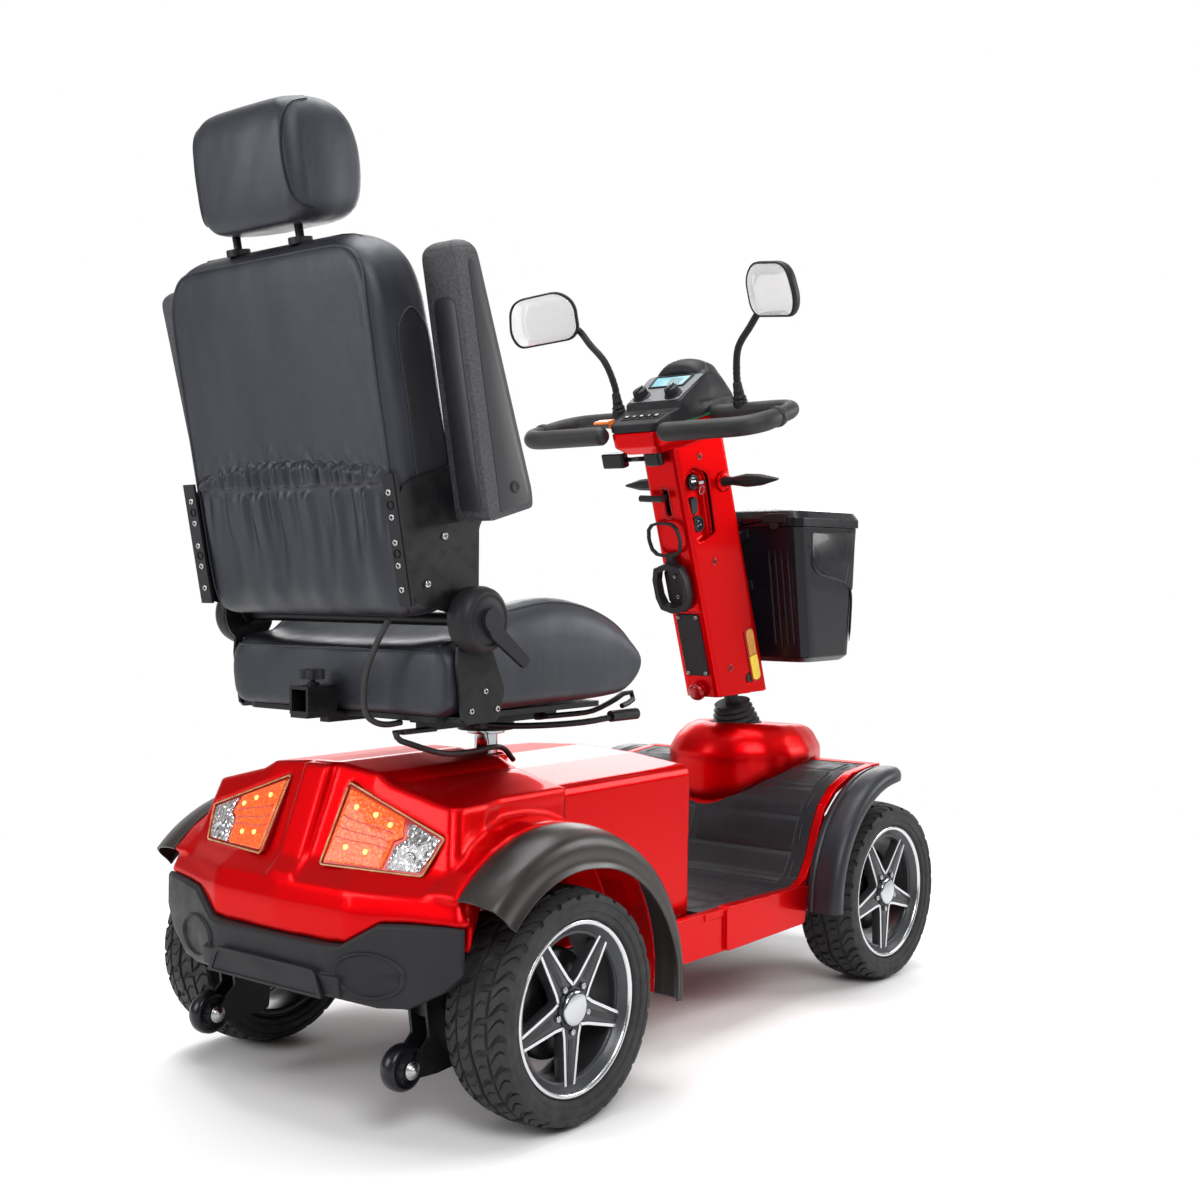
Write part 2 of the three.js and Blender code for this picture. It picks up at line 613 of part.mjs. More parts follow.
// ---------------------------------------------------------------- rear body
// Plan of the shroud at one level: rear face at the middle, sweep to the corners, sides forward.
function shroudPlan(rear, corner, half, waist) {
  const right = [
    [rear, 0], [rear + 5, half * 0.45], [corner - 6, half - 7], [corner + 8, half],
    [corner + 62, (half + waist) / 2 + 4], [corner + 100, waist], [SHROUD_FRONT, waist],
  ];
  const left = right.slice(1).reverse().map(([x, y]) => [x, -y]);
  return [...right, ...left];
}

function shroudOuter() {
  return stack([
    [238, shroudPlan(-234, -178, BULGE_HALF - 8, BODY_HALF - 4)],
    [306, shroudPlan(-234, -176, BULGE_HALF - 2, BODY_HALF)],
    [334, shroudPlan(-228, -168, BULGE_HALF - 12, BODY_HALF)],
    [352, shroudPlan(-207, -158, 290, BODY_HALF)],
    [366, shroudPlan(-195, -152, 276, BODY_HALF)],
    [SHOULDER_HEIGHT, shroudPlan(-161, -128, 256, BODY_HALF - 2)],
    [DECK_HEIGHT + 4, shroudPlan(-139, -110, 240, BODY_HALF - 12)],
  ]);
}

// Flared flange round a rear wheel, kept to one side of the joint between shroud and seat box.
function wheelArch(sign, x0, x1) {
  const root = BODY_HALF - 24;
  const section = [[root, 2], [ARCH_RIDGE, 5], [ARCH_EDGE, 0], [ARCH_EDGE, -5], [ARCH_RIDGE, -1], [root, -4]];
  const ring = arcSweep(section, { x: 0, z: AXLE_HEIGHT }, ARCH_RADIUS, ARCH_FRONT, ARCH_REAR, 14);
  return flipY(common(ring, box(x0, x1, 0, 400, 0, 500)), sign);
}

// Room for the rear wheels and for the fenders that lie against the arches.
function wheelRoom() {
  return SIDES.flatMap(({ sign }) => {
    const [y0, y1] = [sign * (BODY_HALF + 1), sign * 420].sort((a, b) => a - b);
    const well = rod(TYRE_RADIUS + WHEEL_ROOM, vector(0, y0, AXLE_HEIGHT), vector(0, y1, AXLE_HEIGHT), 28);
    const band = [[ARCH_EDGE + GAP / 2, -90], [420, -90], [420, 30], [ARCH_EDGE + GAP / 2, 30]];
    const fender = arcSweep(band, { x: 0, z: AXLE_HEIGHT }, ARCH_RADIUS, ARCH_FRONT - 8, ARCH_REAR + 1, 14);
    return [well, flipY(fender, sign)];
  });
}

// Roof line seen from behind: flat deck, a step down and slopes to the shoulders.
function deckLine(drop) {
  const half = BULGE_HALF + 20;
  const right = [[24, DECK_HEIGHT - drop], [112, DECK_HEIGHT - 8 - drop], [138, DECK_HEIGHT - 21 - drop],
    [BODY_HALF + 8, SHOULDER_HEIGHT + 2 - drop], [half, SHOULDER_HEIGHT - 12 - drop], [half, 180]];
  return [...right, ...[...right].reverse().map(([y, z]) => [-y, z])];
}

const LAMP_CORNERS = [[-147, 64, 468], [-144, 249, 407], [-170, 232, 358], [-204, 65, 360]];

// Block with a slanted four-cornered face, grown by a margin and pushed from front to back.
function lampBlock(sign, margin, proud, depth) {
  const middleY = LAMP_CORNERS.reduce((sum, p) => sum + p[1], 0) / LAMP_CORNERS.length;
  const middleZ = LAMP_CORNERS.reduce((sum, p) => sum + p[2], 0) / LAMP_CORNERS.length;
  const grow = ([x, y, z]) => [x, y + margin * Math.sign(y - middleY), z + margin * Math.sign(z - middleZ)];
  const ring = (shift) => LAMP_CORNERS.map(grow).map(([x, y, z]) => vector(x + shift, sign * y, z));
  return loft([ring(-proud), ring(depth)], LAMP_CORNERS.map(([, y, z]) => [y, z]));
}

function rearShroud() {
  const roof = slabX(deckLine(0), -260, SHROUD_FRONT - GAP);
  const spine = slabY([[-160, 300], [-226, 340], [-206, 364], [-156, DECK_HEIGHT - 2], [-120, DECK_HEIGHT - 2],
    [-120, 300]], -SPINE_HALF, SPINE_HALF);
  const cavity = slabX(rounded([[-BODY_HALF + BODY_WALL, 100], [BODY_HALF - BODY_WALL, 100],
    [BODY_HALF - BODY_WALL, SHOULDER_HEIGHT - 8], [110, DECK_HEIGHT - 14], [-110, DECK_HEIGHT - 14],
    [-BODY_HALF + BODY_WALL, SHOULDER_HEIGHT - 8]], 12), KICKUP_REAR + 18, SHROUD_FRONT + 10);
  const frameSlot = box(KICKUP_REAR - 6, 0, -ANTI_TIP_HALF - 34, ANTI_TIP_HALF + 34, 200,
    KICKUP_BOTTOM + RAIL_HEIGHT + 6);
  const pockets = SIDES.map(({ sign }) => lampBlock(sign, GAP, 60, 30 + GAP));
  const belowBumper = slabX([...bumperTopLine(GAP), [-340, 200], [340, 200]], -300, KICKUP_REAR - 6);
  const front = SHROUD_FRONT - GAP;
  const body = cut(join(common(shroudOuter(), roof), spine), cavity, frameSlot, belowBumper, ...wheelRoom());
  return cut(join(body, wheelArch(1, -300, front), wheelArch(-1, -300, front)), ...pockets);
}

function seatBox() {
  const half = BOX_HALF;
  const side = [[half, BOX_BOTTOM], [half + 5, SHOULDER_HEIGHT - 10], [half + 1, SHOULDER_HEIGHT],
    [half - 9, SHOULDER_HEIGHT + 5], [half * 0.5, SHOULDER_HEIGHT + BOX_CROWN - 6],
    [0, SHOULDER_HEIGHT + BOX_CROWN]];
  const outline = [...side, ...side.slice(0, -1).reverse().map(([y, z]) => [-y, z])];
  const rear = SHROUD_FRONT + GAP;
  const shell = slabX(outline, rear, BOX_FRONT);
  const nose = slabY(rounded([[rear - 1, 100], [BOX_FRONT, 100], [BOX_FRONT, SHOULDER_HEIGHT - 3],
    [BOX_FRONT - 12, DECK_HEIGHT + 28], [rear - 1, DECK_HEIGHT + 28]], 16, 2), -half - 20, half + 20);
  const cavity = box(rear - 10, BOX_FRONT - BODY_WALL, -half + BODY_WALL + 2, half - BODY_WALL - 2,
    100, SHOULDER_HEIGHT - BODY_WALL);
  const collar = rod(POST_COLLAR_RADIUS, vector(POST_X, 0, SHOULDER_HEIGHT),
    vector(POST_X, 0, SHOULDER_HEIGHT + BOX_CROWN + 6), 24);
  const hole = rod(POST_RADIUS + 9 + SLIDE_GAP, vector(POST_X, 0, 300), vector(POST_X, 0, DECK_HEIGHT + 28), 20);
  const arches = [1, -1].map((sign) => wheelArch(sign, rear, 420));
  return cut(join(common(shell, nose), collar, ...arches), cavity, hole);
}

function addTailLamps() {
  for (const { name, sign } of SIDES) {
    add(`tail_lamp_${name}`, lampBlock(sign, 0, 4, 30), AMBER);
  }
}

// Stations of the bumper from the middle to its right end.
const BUMPER = [
  { y: 0, x: -245, top: 262, bottom: 192, depth: 24 }, { y: 112, x: -245, top: 262, bottom: 192, depth: 24 },
  { y: 140, x: -239, top: 264, bottom: 190, depth: 24 }, { y: 196, x: -222, top: 297, bottom: 184, depth: 24 },
  { y: 240, x: -210, top: 300, bottom: 188, depth: 20 }, { y: 292, x: -194, top: 301, bottom: 216, depth: 14 },
  { y: 316, x: -184, top: 300, bottom: 240, depth: 8 },
];

// The bumper's upper edge as [y, z] from end to end, lifted a little; the body ends on it.
function bumperTopLine(lift) {
  const right = BUMPER.map(({ y, top }) => [y, top + lift]);
  right.push([340, BUMPER.at(-1).top + lift]);
  return [...[...right].reverse(), ...right.slice(1).map(([y, z]) => [-y, z])];
}

function rearBumper() {
  const section = ({ y, x, top, bottom, depth }) => [y, [[x + 3, bottom], [x - 1, bottom + 12], [x, top - 4],
    [x + 4, top], [x + depth, top], [x + depth, bottom]]];
  const right = BUMPER.map(section);
  const left = right.slice(1).reverse().map(([y, outline]) => [-y, outline]);
  const bar = ribsAlongY([...left, ...right]);
  const step = ribsAlongY([-147, -111, 111, 147].map((y) => {
    const raise = Math.abs(y) > 120 ? 1 : 6;
    return [y, [[-243 - raise, 196], [-245 - raise, 222], [-236, 226], [-226, 226], [-226, 194]]];
  }));
  const brackets = SIDES.map(({ sign }) => box(-236, KICKUP_REAR - GAP,
    sign * 110 - 18, sign * 110 + 18, KICKUP_BOTTOM - 44, KICKUP_BOTTOM - 6));
  return join(bar, step, ...brackets);
}

function addRearFenders() {
  const inner = ARCH_EDGE + GAP;
  const corner = FENDER_OUTER - 5;
  const section = [[inner, 0], [inner, -FENDER_WALL], [corner - 2, -FENDER_FALL - FENDER_WALL],
    [corner, -FENDER_FALL - FENDER_LIP], [FENDER_OUTER, -FENDER_FALL - FENDER_LIP],
    [FENDER_OUTER - 1, -FENDER_FALL - 5], [corner - 3, -FENDER_FALL + 1], [(inner + corner) / 2, -4]];
  const centre = { x: 0, z: AXLE_HEIGHT };
  const arch = arcSweep(section, centre, ARCH_RADIUS, ARCH_FRONT, ARCH_REAR, 16);
  for (const { name, sign } of SIDES) add(`rear_fender_${name}`, flipY(arch, sign), GREY_PLASTIC);
}

// ---------------------------------------------------------------- floor and front body
// Points given from the front axle.
function fromFrontAxle(points) {
  return points.map(([x, other]) => [WHEELBASE + x, other]);
}

// Upper line of the floor from the seat box up the toe ramp, lifted by an offset.
const floorLine = (lift) => [
  [FLOOR_REAR, FLOOR_TOP],
  ...fromFrontAxle([[-258, FLOOR_TOP], [-228, FLOOR_TOP + 12], [-202, 250], [-186, 290], [-162, 332],
    [-122, 364], [-65, 384]]),
  [RAMP_END, RAMP_TOP],
].map(([x, z]) => [x, z + lift]);

function floorSheet(low, high, half) {
  const outline = [...floorLine(low), ...floorLine(high).reverse()];
  return slabY(outline, -half, half);
}

function floorPan() {
  const sheet = floorSheet(-FLOOR_WALL, 0, FLOOR_HALF);
  const sills = SIDES.flatMap(({ sign }) => {
    const wide = [sign * (MAT_HALF + 2), sign * (FLOOR_HALF + 4)].sort((a, b) => a - b);
    const narrow = [sign * (MAT_HALF + 2), sign * (FLOOR_HALF - 2)].sort((a, b) => a - b);
    const front = slabY(rounded([[SILL_STEP, SILL_BOTTOM], [SILL_FRONT - 20, SILL_BOTTOM + 4],
      [SILL_FRONT, FLOOR_TOP + 6], [SILL_STEP, FLOOR_TOP + 10]], 5, 1), ...wide);
    const rear = slabY([[SILL_REAR, SILL_BOTTOM + 24], [SILL_REAR + 60, SILL_BOTTOM],
      [SILL_STEP + 8, SILL_BOTTOM], [SILL_STEP + 8, FLOOR_TOP + 8], [SILL_REAR, FLOOR_TOP + 8]], ...narrow);
    return [front, rear];
  });
  const edges = SIDES.map(({ sign }) => {
    const span = [sign * (MAT_HALF + 2), sign * FLOOR_HALF].sort((a, b) => a - b);
    return slabY([...floorLine(-FLOOR_WALL), ...floorLine(MAT_THICKNESS + 1).reverse()], ...span);
  });
  const frontEdge = join(box(RAMP_END - 1, RAMP_END + 24, -FLOOR_HALF, FLOOR_HALF, RAMP_TOP - FLOOR_WALL, RAMP_TOP),
    box(RAMP_END + GAP, RAMP_END + 24, -FLOOR_HALF, FLOOR_HALF, RAMP_TOP - 1, RAMP_TOP + MAT_THICKNESS + 1));
  const columnSlot = slabZ(cowlPlan(COWL_WALL + 2), 100, 600);
  const noseRoom = slabZ(cowlPlan(-GAP).filter(([x]) => x > RAMP_END - 60), 100, 600);
  const skirtRoom = box(RAMP_END - 60, FRONT_END + 35, -COWL_SKIRT - GAP, COWL_SKIRT + GAP, 100, 600);
  return cut(join(sheet, ...sills, ...edges, frontEdge), columnSlot, noseRoom, skirtRoom);
}

function floorMat() {
  const sheet = floorSheet(GAP, MAT_THICKNESS, MAT_HALF);
  const behindBox = box(0, BOX_FRONT + 2, -400, 400, 0, 400);
  return cut(sheet, behindBox, slabZ(cowlPlan(-GAP * 4), 0, 600));
}

// Plan of the front cowl, drawn in by an inset: blunt nose towards the rider, tapering forward.
function cowlPlan(inset) {
  const right = [[COWL_REAR, 10], ...fromFrontAxle([[-167, 33], [-158, 64], [-140, 92], [-115, 117], [-67, 136],
    [-10, 138], [40, 126], [90, 106], [130, 78], [148, 40]])];
  const middle = WHEELBASE - 10;
  const stretch = 1 - inset / (middle - COWL_REAR);
  const shaped = right.map(([x, y]) => [middle + (x - middle) * stretch, y * (1 - inset / 138)]);
  return [...shaped, ...[...shaped].reverse().map(([x, y]) => [x, -y])];
}

function frontCowl() {
  const outer = stack([[206, cowlPlan(0)], [418, cowlPlan(0)], [444, cowlPlan(14)], [462, cowlPlan(32)],
    [474, cowlPlan(56)]]);
  const side = rounded(fromFrontAxle([[-210, 290], [-170, 470], [-140, 476], [-70, 471], [43, 463], [88, 452],
    [120, 428], [146, 380], [156, 300], [158, 206], [-210, 206]]), 14, 1);
  const [skirtRear, skirtFront] = [COWL_REAR - 100, FRONT_END + 35];
  const skirt = join(box(skirtRear, skirtFront, -COWL_SKIRT, COWL_SKIRT, 200, RAMP_TOP - 20),
    box(skirtRear, skirtFront, -200, 200, RAMP_TOP - 50 - 40, 600));
  const body = common(common(outer, slabY(side, -200, 200)), skirt);
  const cavity = stack([[150, cowlPlan(COWL_WALL)], [412, cowlPlan(COWL_WALL)], [436, cowlPlan(20)],
    [452, cowlPlan(40)]]);
  const cavitySide = slabY(fromFrontAxle([[-230, 140], [-180, 440], [-134, 458], [-70, 455], [42, 447],
    [82, 438], [112, 418], [138, 376], [147, 298], [148, 140]]), -COWL_SKIRT + COWL_WALL, COWL_SKIRT - COWL_WALL);
  const outline = [...floorLine(MAT_THICKNESS + GAP), [RAMP_END + 24 + GAP, RAMP_TOP + MAT_THICKNESS + 1 + GAP],
    [RAMP_END + 24 + GAP, 0], [FLOOR_REAR, 0]];
  const underFloor = slabY(outline, -400, 400);
  const shaftHole = rod(BOOT_TOP_RADIUS, onSteeringAxis(-200), onSteeringAxis(BOOT_BASE + 20), 20);
  const bootSeat = rod(COWL_COLLAR_RADIUS, onSteeringAxis(BOOT_BASE - GAP), onSteeringAxis(BOOT_BASE + 120), 20);
  return cut(body, common(cavity, cavitySide), underFloor, shaftHole, bootSeat);
}

function addFrontFenders() {
  const inner = FLOOR_HALF + 4 + GAP;
  const outer = inner + FRONT_FENDER_WIDTH;
  const section = [[inner, 0], [inner, -FENDER_WALL], [outer - 14, -FENDER_WALL - 2],
    [outer - FENDER_WALL, -FENDER_WALL - 7], [outer - FENDER_WALL, -20], [outer, -20], [outer, -6],
    [outer - 12, 0]];
  const arch = arcSweep(section, { x: WHEELBASE, z: AXLE_HEIGHT }, FRONT_FENDER_RADIUS, 80, 181, 10);
  for (const { name, sign } of SIDES) add(`front_fender_${name}`, flipY(arch, sign), BLACK_PLASTIC);
}

// ---------------------------------------------------------------- steering
function knuckle(sign) {
  const y = KINGPIN_SPACING / 2;
  const low = AXLE_HEIGHT - YOKE_HEIGHT / 2 + YOKE_EAR + GAP;
  const high = AXLE_HEIGHT + YOKE_HEIGHT / 2 - YOKE_EAR - GAP;
  const face = FRONT_TRACK / 2 + HUB_BACK - GAP;
  const barrel = slabZ(circle(KINGPIN_RADIUS, 14, WHEELBASE, y), low, high);
  const stub = rod(13, vector(WHEELBASE, y, AXLE_HEIGHT), vector(WHEELBASE, face, AXLE_HEIGHT), 14);
  const flange = rod(AXLE_FLANGE_RADIUS, vector(WHEELBASE, face - 10, AXLE_HEIGHT),
    vector(WHEELBASE, face, AXLE_HEIGHT), 18);
  const arm = slabZ(rounded([[WHEELBASE - 86, y - 18], [WHEELBASE, y - 12], [WHEELBASE, y + 10],
    [WHEELBASE - 86, y + 2]], 6, 2), low, low + STEERING_ARM);
  return flipY(join(barrel, stub, flange, arm), sign);
}

function steeringColumn() {
  const ribs = [];
  const step = (BOOT_TOP - BOOT_BASE) / (2 * BOOT_RIBS);
  for (let i = 0; i <= 2 * BOOT_RIBS; i++) {
    const share = i / (2 * BOOT_RIBS);
    const radius = BOOT_BASE_RADIUS + (BOOT_TOP_RADIUS - BOOT_BASE_RADIUS) * share - (i % 2) * 5;
    ribs.push([radius, BOOT_BASE + i * step]);
  }
  const boot = turnedZ([[0, BOOT_BASE], ...ribs, [0, BOOT_TOP]], 18);
  const shaft = rod(STEERING_SHAFT_RADIUS, vector(0, 0, -SHAFT_LENGTH), vector(0, 0, PIVOT_PIN_HEIGHT), 16);
  const reach = coverHalfAt(0);
  const pin = rod(PIVOT_PIN_RADIUS, vector(0, -reach, PIVOT_PIN_HEIGHT), vector(0, reach, PIVOT_PIN_HEIGHT), 14);
  const head = rod(18, vector(0, -24, PIVOT_PIN_HEIGHT), vector(0, 24, PIVOT_PIN_HEIGHT), 16);
  const pitman = slabZ(rounded([[-16, -14], [52, -9], [52, 9], [-16, 14]], 6, 1),
    -SHAFT_LENGTH, -SHAFT_LENGTH + 9);
  return join(boot, shaft, pin, head, pitman);
}

// ---------------------------------------------------------------- tiller
// Half width of the cover's slanted side at a place x in its section.
const coverHalfAt = (x) => COVER_REAR_HALF
  + (COVER_WIDEST_HALF - COVER_REAR_HALF) * (x - COVER_REAR) / (COVER_WIDEST - COVER_REAR);

function coverSection(inset) {
  const right = [[COVER_REAR + inset, COVER_REAR_HALF - inset], [COVER_WIDEST - inset, COVER_WIDEST_HALF - inset],
    [COVER_FRONT - inset, COVER_FRONT_HALF - inset]];
  return [...right, ...[...right].reverse().map(([x, y]) => [x, -y])];
}

const consolePlan = (inset) => {
  const right = [[CONSOLE_REAR + inset, 44 - inset], [CONSOLE_REAR + 5 + inset, DECK_HALF - inset],
    [-105, DECK_HALF + 1 - inset], [-62, 68 - inset], [-30, CONSOLE_HALF - 2 - inset],
    [-10, CONSOLE_HALF - inset], [58, CONSOLE_HALF - inset], [CONSOLE_FRONT - 8 - inset, 58],
    [CONSOLE_FRONT - inset, 34]];
  return [...right, ...[...right].reverse().map(([x, y]) => [x, -y])];
};

function tillerCover() {
  const shell = slabZ(rounded(coverSection(0), 9, 2), -30, CONSOLE_BASE_BOTTOM);
  const base = stack([[COVER_TOP, scaledOutline(consolePlan(8), 0.9, 0.86)],
    [CONSOLE_BASE_BOTTOM, consolePlan(1)], [CONSOLE_BASE_TOP, consolePlan(0)]]);
  const cavity = slabZ(coverSection(COVER_WALL), -40, COVER_TOP - 30);
  const below = slabY([[-130, -60], [130, -60], [130, -38], [-130, 28]], -90, 90);
  const slot = box(COVER_REAR - 5, COVER_REAR + 14, -5, 5, 378, 427);
  const recess = slabY(rounded([[-72, 317], [-22, 324], [-15, 438], [-48, 458], [-78, 446]], 14, 2),
    -90, -coverHalfAt(-46) + RECESS_DEPTH);
  const recessBox = slabY(rounded([[-78, 311], [-18, 318], [-10, 440], [-46, 463], [-84, 450]], 14, 2),
    -coverHalfAt(-78), -coverHalfAt(-46) + RECESS_DEPTH + COVER_WALL);
  const pinBore = rod(PIVOT_PIN_RADIUS + RUNNING_GAP, vector(0, -90, PIVOT_PIN_HEIGHT),
    vector(0, 90, PIVOT_PIN_HEIGHT), 16);
  const throttleBore = rod(THROTTLE_PIN + RUNNING_GAP, vector(THROTTLE_PLACE, 0, CONSOLE_BASE_BOTTOM - 20),
    vector(THROTTLE_PLACE, 0, CONSOLE_BASE_TOP - 12), 12);
  const lockBore = rod(KEY_BARREL + RUNNING_GAP, vector(KEY_PLACE.x, -60, KEY_PLACE.z),
    vector(KEY_PLACE.x, -coverHalfAt(-46) + RECESS_DEPTH + COVER_WALL + 5, KEY_PLACE.z), 14);
  const cap = rod(13, vector(COVER_REAR - 9, 4, 32), vector(COVER_REAR + 6, 4, 32), 16);
  const hollow = cut(join(shell, base), cavity, slot);
  return cut(join(hollow, recessBox, cap), recess, below, pinBore, throttleBore, lockBore,
    tiltPin(5 + RUNNING_GAP, 2.5));
}

// Height of the display panel's plane at a place along the tiller.
const panelHeight = (x) =>
  PANEL.low + (PANEL.high - PANEL.low) * (x - PANEL.rear) / (PANEL.front - PANEL.rear);
const PANEL_TILT = Math.atan2(PANEL.high - PANEL.low, PANEL.front - PANEL.rear);

function consoleHousing() {
  const floor = CONSOLE_BASE_TOP + GAP;
  const { rear, low, front, high } = PANEL;
  const stations = [
    [0, [[rear - 6, floor], [rear - 4, low - 13], [rear, low], [front, high], [30, 635], [52, 643],
      [74, 633], [90, 600], [98, floor]]],
    [42, [[rear - 6, floor], [rear - 4, low - 13], [rear, low], [front, high], [30, 631], [52, 636],
      [72, 626], [88, 594], [96, floor]]],
    [PANEL.half, [[rear - 6, floor], [rear - 4, low - 13], [rear, low], [front, high], [30, 620], [50, 611],
      [68, 597], [82, 578], [90, floor]]],
    [71, [[rear + 4, floor], [rear + 12, low - 26], [-52, 578], [front, 596], [30, 595], [46, 590],
      [62, 582], [76, 568], [82, floor]]],
    [CONSOLE_HALF, [[-40, floor], [-34, 558], [-28, 560], [front, 568], [28, 569], [40, 567],
      [52, 563], [58, 559], [62, floor]]],
  ];
  const left = stations.slice(1).map(([y, outline]) => [-y, outline]).reverse();
  const hood = ribsAlongY([...left, ...stations]);
  const deckSlope = slabY([[CONSOLE_REAR - 5, floor], [90, floor], [60, CONSOLE_DECK], [-70, CONSOLE_DECK + 12],
    [CONSOLE_REAR + 5, CONSOLE_DECK], [CONSOLE_REAR - 1, CONSOLE_DECK - 4]], -100, 100);
  const deck = common(slabZ(consolePlan(0), floor, CONSOLE_DECK + 20), deckSlope);
  const bores = SIDES.map(({ sign }) => knobShape(KNOB_STUB + RUNNING_GAP, 0, 14, sign));
  const rockerBore = rod(ROCKER_PIN + RUNNING_GAP, vector(ROCKER_PLACE, 30, CONSOLE_DECK - 5),
    vector(ROCKER_PLACE, 80, CONSOLE_DECK - 5), 10);
  return cut(join(hood, deck), ...bores, rockerBore);
}

// Cylinder square to the display panel, from below its surface to above it.
function knobShape(radius, above, below, sign) {
  return rod(radius, vector(0, 0, -below), vector(0, 0, above + 2), 16)
    .rotateY(-PANEL_TILT).translate(KNOB_PLACE.x, sign * KNOB_PLACE.y, panelHeight(KNOB_PLACE.x));
}

function handlebarLoop(sign) {
  const corner = 46;
  const outer = LOOP_OUTER - GRIP_RADIUS;
  const points = [
    [LOOP_FRONT, CONSOLE_HALF + GAP], [LOOP_FRONT, outer - corner], [LOOP_FRONT - 13, outer - 13],
    [LOOP_FRONT - corner, outer], [LOOP_REAR + corner, outer], [LOOP_REAR + 13, outer - 13],
    [LOOP_REAR, outer - corner], [LOOP_REAR, LOOP_INNER_END],
  ].map(([x, y]) => vector(x, y, LOOP_HEIGHT));
  const mirrorBoss = rod(13, vector(MIRROR_BASE.x, MIRROR_BASE.y, LOOP_HEIGHT),
    vector(MIRROR_BASE.x, MIRROR_BASE.y, MIRROR_BASE.z), 14);
  return flipY(join(bentBar(points, GRIP_RADIUS, 10, 22), mirrorBoss), sign);
}

// Finger lever under the console: hub on a vertical pin, arm and paddle to the left.
function throttleLever() {
  const low = 478;
  const hub = slabZ(rounded(rectangle(9, 18, THROTTLE_PLACE), 5, 1), low, low + 26);
  const pin = rod(THROTTLE_PIN, vector(THROTTLE_PLACE, 0, low + 20),
    vector(THROTTLE_PLACE, 0, CONSOLE_BASE_TOP - 16), 12);
  const arm = box(THROTTLE_PLACE - 5, THROTTLE_PLACE + 5, 10, 70, low + 10, low + 18);
  const plan = rounded([[THROTTLE_PLACE - 14, 62], [THROTTLE_PLACE + 10, 64], [THROTTLE_PLACE + 8, 120],
    [THROTTLE_PLACE - 10, 118]], 9, 2);
  return join(hub, pin, arm, slabZ(plan, low, low + 28));
}

// Pointer knob standing square on the display panel.
function panelKnob(sign) {
  const stub = rod(KNOB_STUB, vector(0, 0, -12), vector(0, 0, 3), 12);
  const skirt = turnedZ([[0, 1], [15, 1], [15, 4], [12, 6], [11, 17], [0, 17]], 16);
  const pointer = box(-12, 12, -3, 3, 14, 20);
  return join(stub, skirt, pointer).rotateY(-PANEL_TILT)
    .translate(KNOB_PLACE.x, sign * KNOB_PLACE.y, panelHeight(KNOB_PLACE.x));
}

function ignitionKey() {
  const face = -coverHalfAt(-46) + RECESS_DEPTH;
  const barrel = rod(KEY_BARREL, vector(0, face + 8, 0), vector(0, face - 5, 0), 14);
  const blade = box(-4, 4, face - 14, face - 4, -1.2, 1.2);
  const bow = slabZ(rounded([[-10, face - 12], [10, face - 12], [10, face - 30], [-10, face - 30]], 6, 1), -2.5, 2.5);
  return join(barrel, blade, bow).translate(KEY_PLACE.x, 0, KEY_PLACE.z);
}

// Bag hook on the rear face: a back plate, an open tray ring and a carrying loop above it.
function bagHook() {
  const face = COVER_REAR - GAP;
  const middle = (HOOK_TOP + HOOK_BOTTOM) / 2;
  const half = (HOOK_TOP - HOOK_BOTTOM) / 2;
  const plate = slabX(rounded(rectangle(24, half - 6, 8, middle), 14, 1), face - 6, face);
  const tray = slabX(rounded(rectangle(37, half, HOOK_SHIFT, middle), 30, 2), face - 24, face - 5,
    [rounded(rectangle(28, half - 11, HOOK_SHIFT, middle), 24, 2)]);
  const web = box(face - 16, face - 1, HOOK_SHIFT - 20, HOOK_SHIFT + 20, HOOK_BOTTOM + 1, HOOK_BOTTOM + 14);
  const stem = box(face - 14, face, 0, 16, HOOK_TOP - 24, HOOK_TOP + 18);
  const loop = slabX(rounded(rectangle(38, 34, HOOK_SHIFT, HOOK_TOP + 46), 30, 3), face - 15, face - 9,
    [rounded(rectangle(33, 29, HOOK_SHIFT, HOOK_TOP + 46), 26, 3)]);
  return join(plate, tray, web, stem, loop);
}

function hazardSwitch() {
  const z = CONSOLE_DECK - 5;
  const pin = rod(ROCKER_PIN, vector(ROCKER_PLACE, DECK_HALF - 8, z), vector(ROCKER_PLACE, DECK_HALF + 6, z), 10);
  const tab = slabY(rounded(rectangle(11, 3, ROCKER_PLACE, z + 9), 2, 1), DECK_HALF + 2, DECK_HALF + 36);
  const root = box(ROCKER_PLACE - 4, ROCKER_PLACE + 4, DECK_HALF + 2, DECK_HALF + 7, z - 3, z + 9);
  return join(pin, tab, root);
}

// Lever in the slot of the rear face, hung on a cross pin inside the cover; its grip points left.
function tiltLever() {
  const z = TILT_LEVER_HEIGHT;
  const axis = COVER_REAR + TILT_LEVER_REACH;
  const bar = box(COVER_REAR - 22, axis, -3, 3, z - 4, z + 4);
  const grip = rod(6.5, vector(COVER_REAR - 19, -6, z), vector(COVER_REAR - 19, 45, z + 3), 10);
  return join(bar, grip, tiltPin(5, 2));
}

// Cross pin of the tilt lever, or its bore, let into the cover's left wall and the key recess.
function tiltPin(radius, depth) {
  const axis = COVER_REAR + TILT_LEVER_REACH;
  const left = coverHalfAt(axis) - COVER_WALL + depth;
  const right = -coverHalfAt(KEY_PLACE.x) + RECESS_DEPTH + COVER_WALL - depth;
  return rod(radius, vector(axis, right, TILT_LEVER_HEIGHT), vector(axis, left, TILT_LEVER_HEIGHT), 12);
}

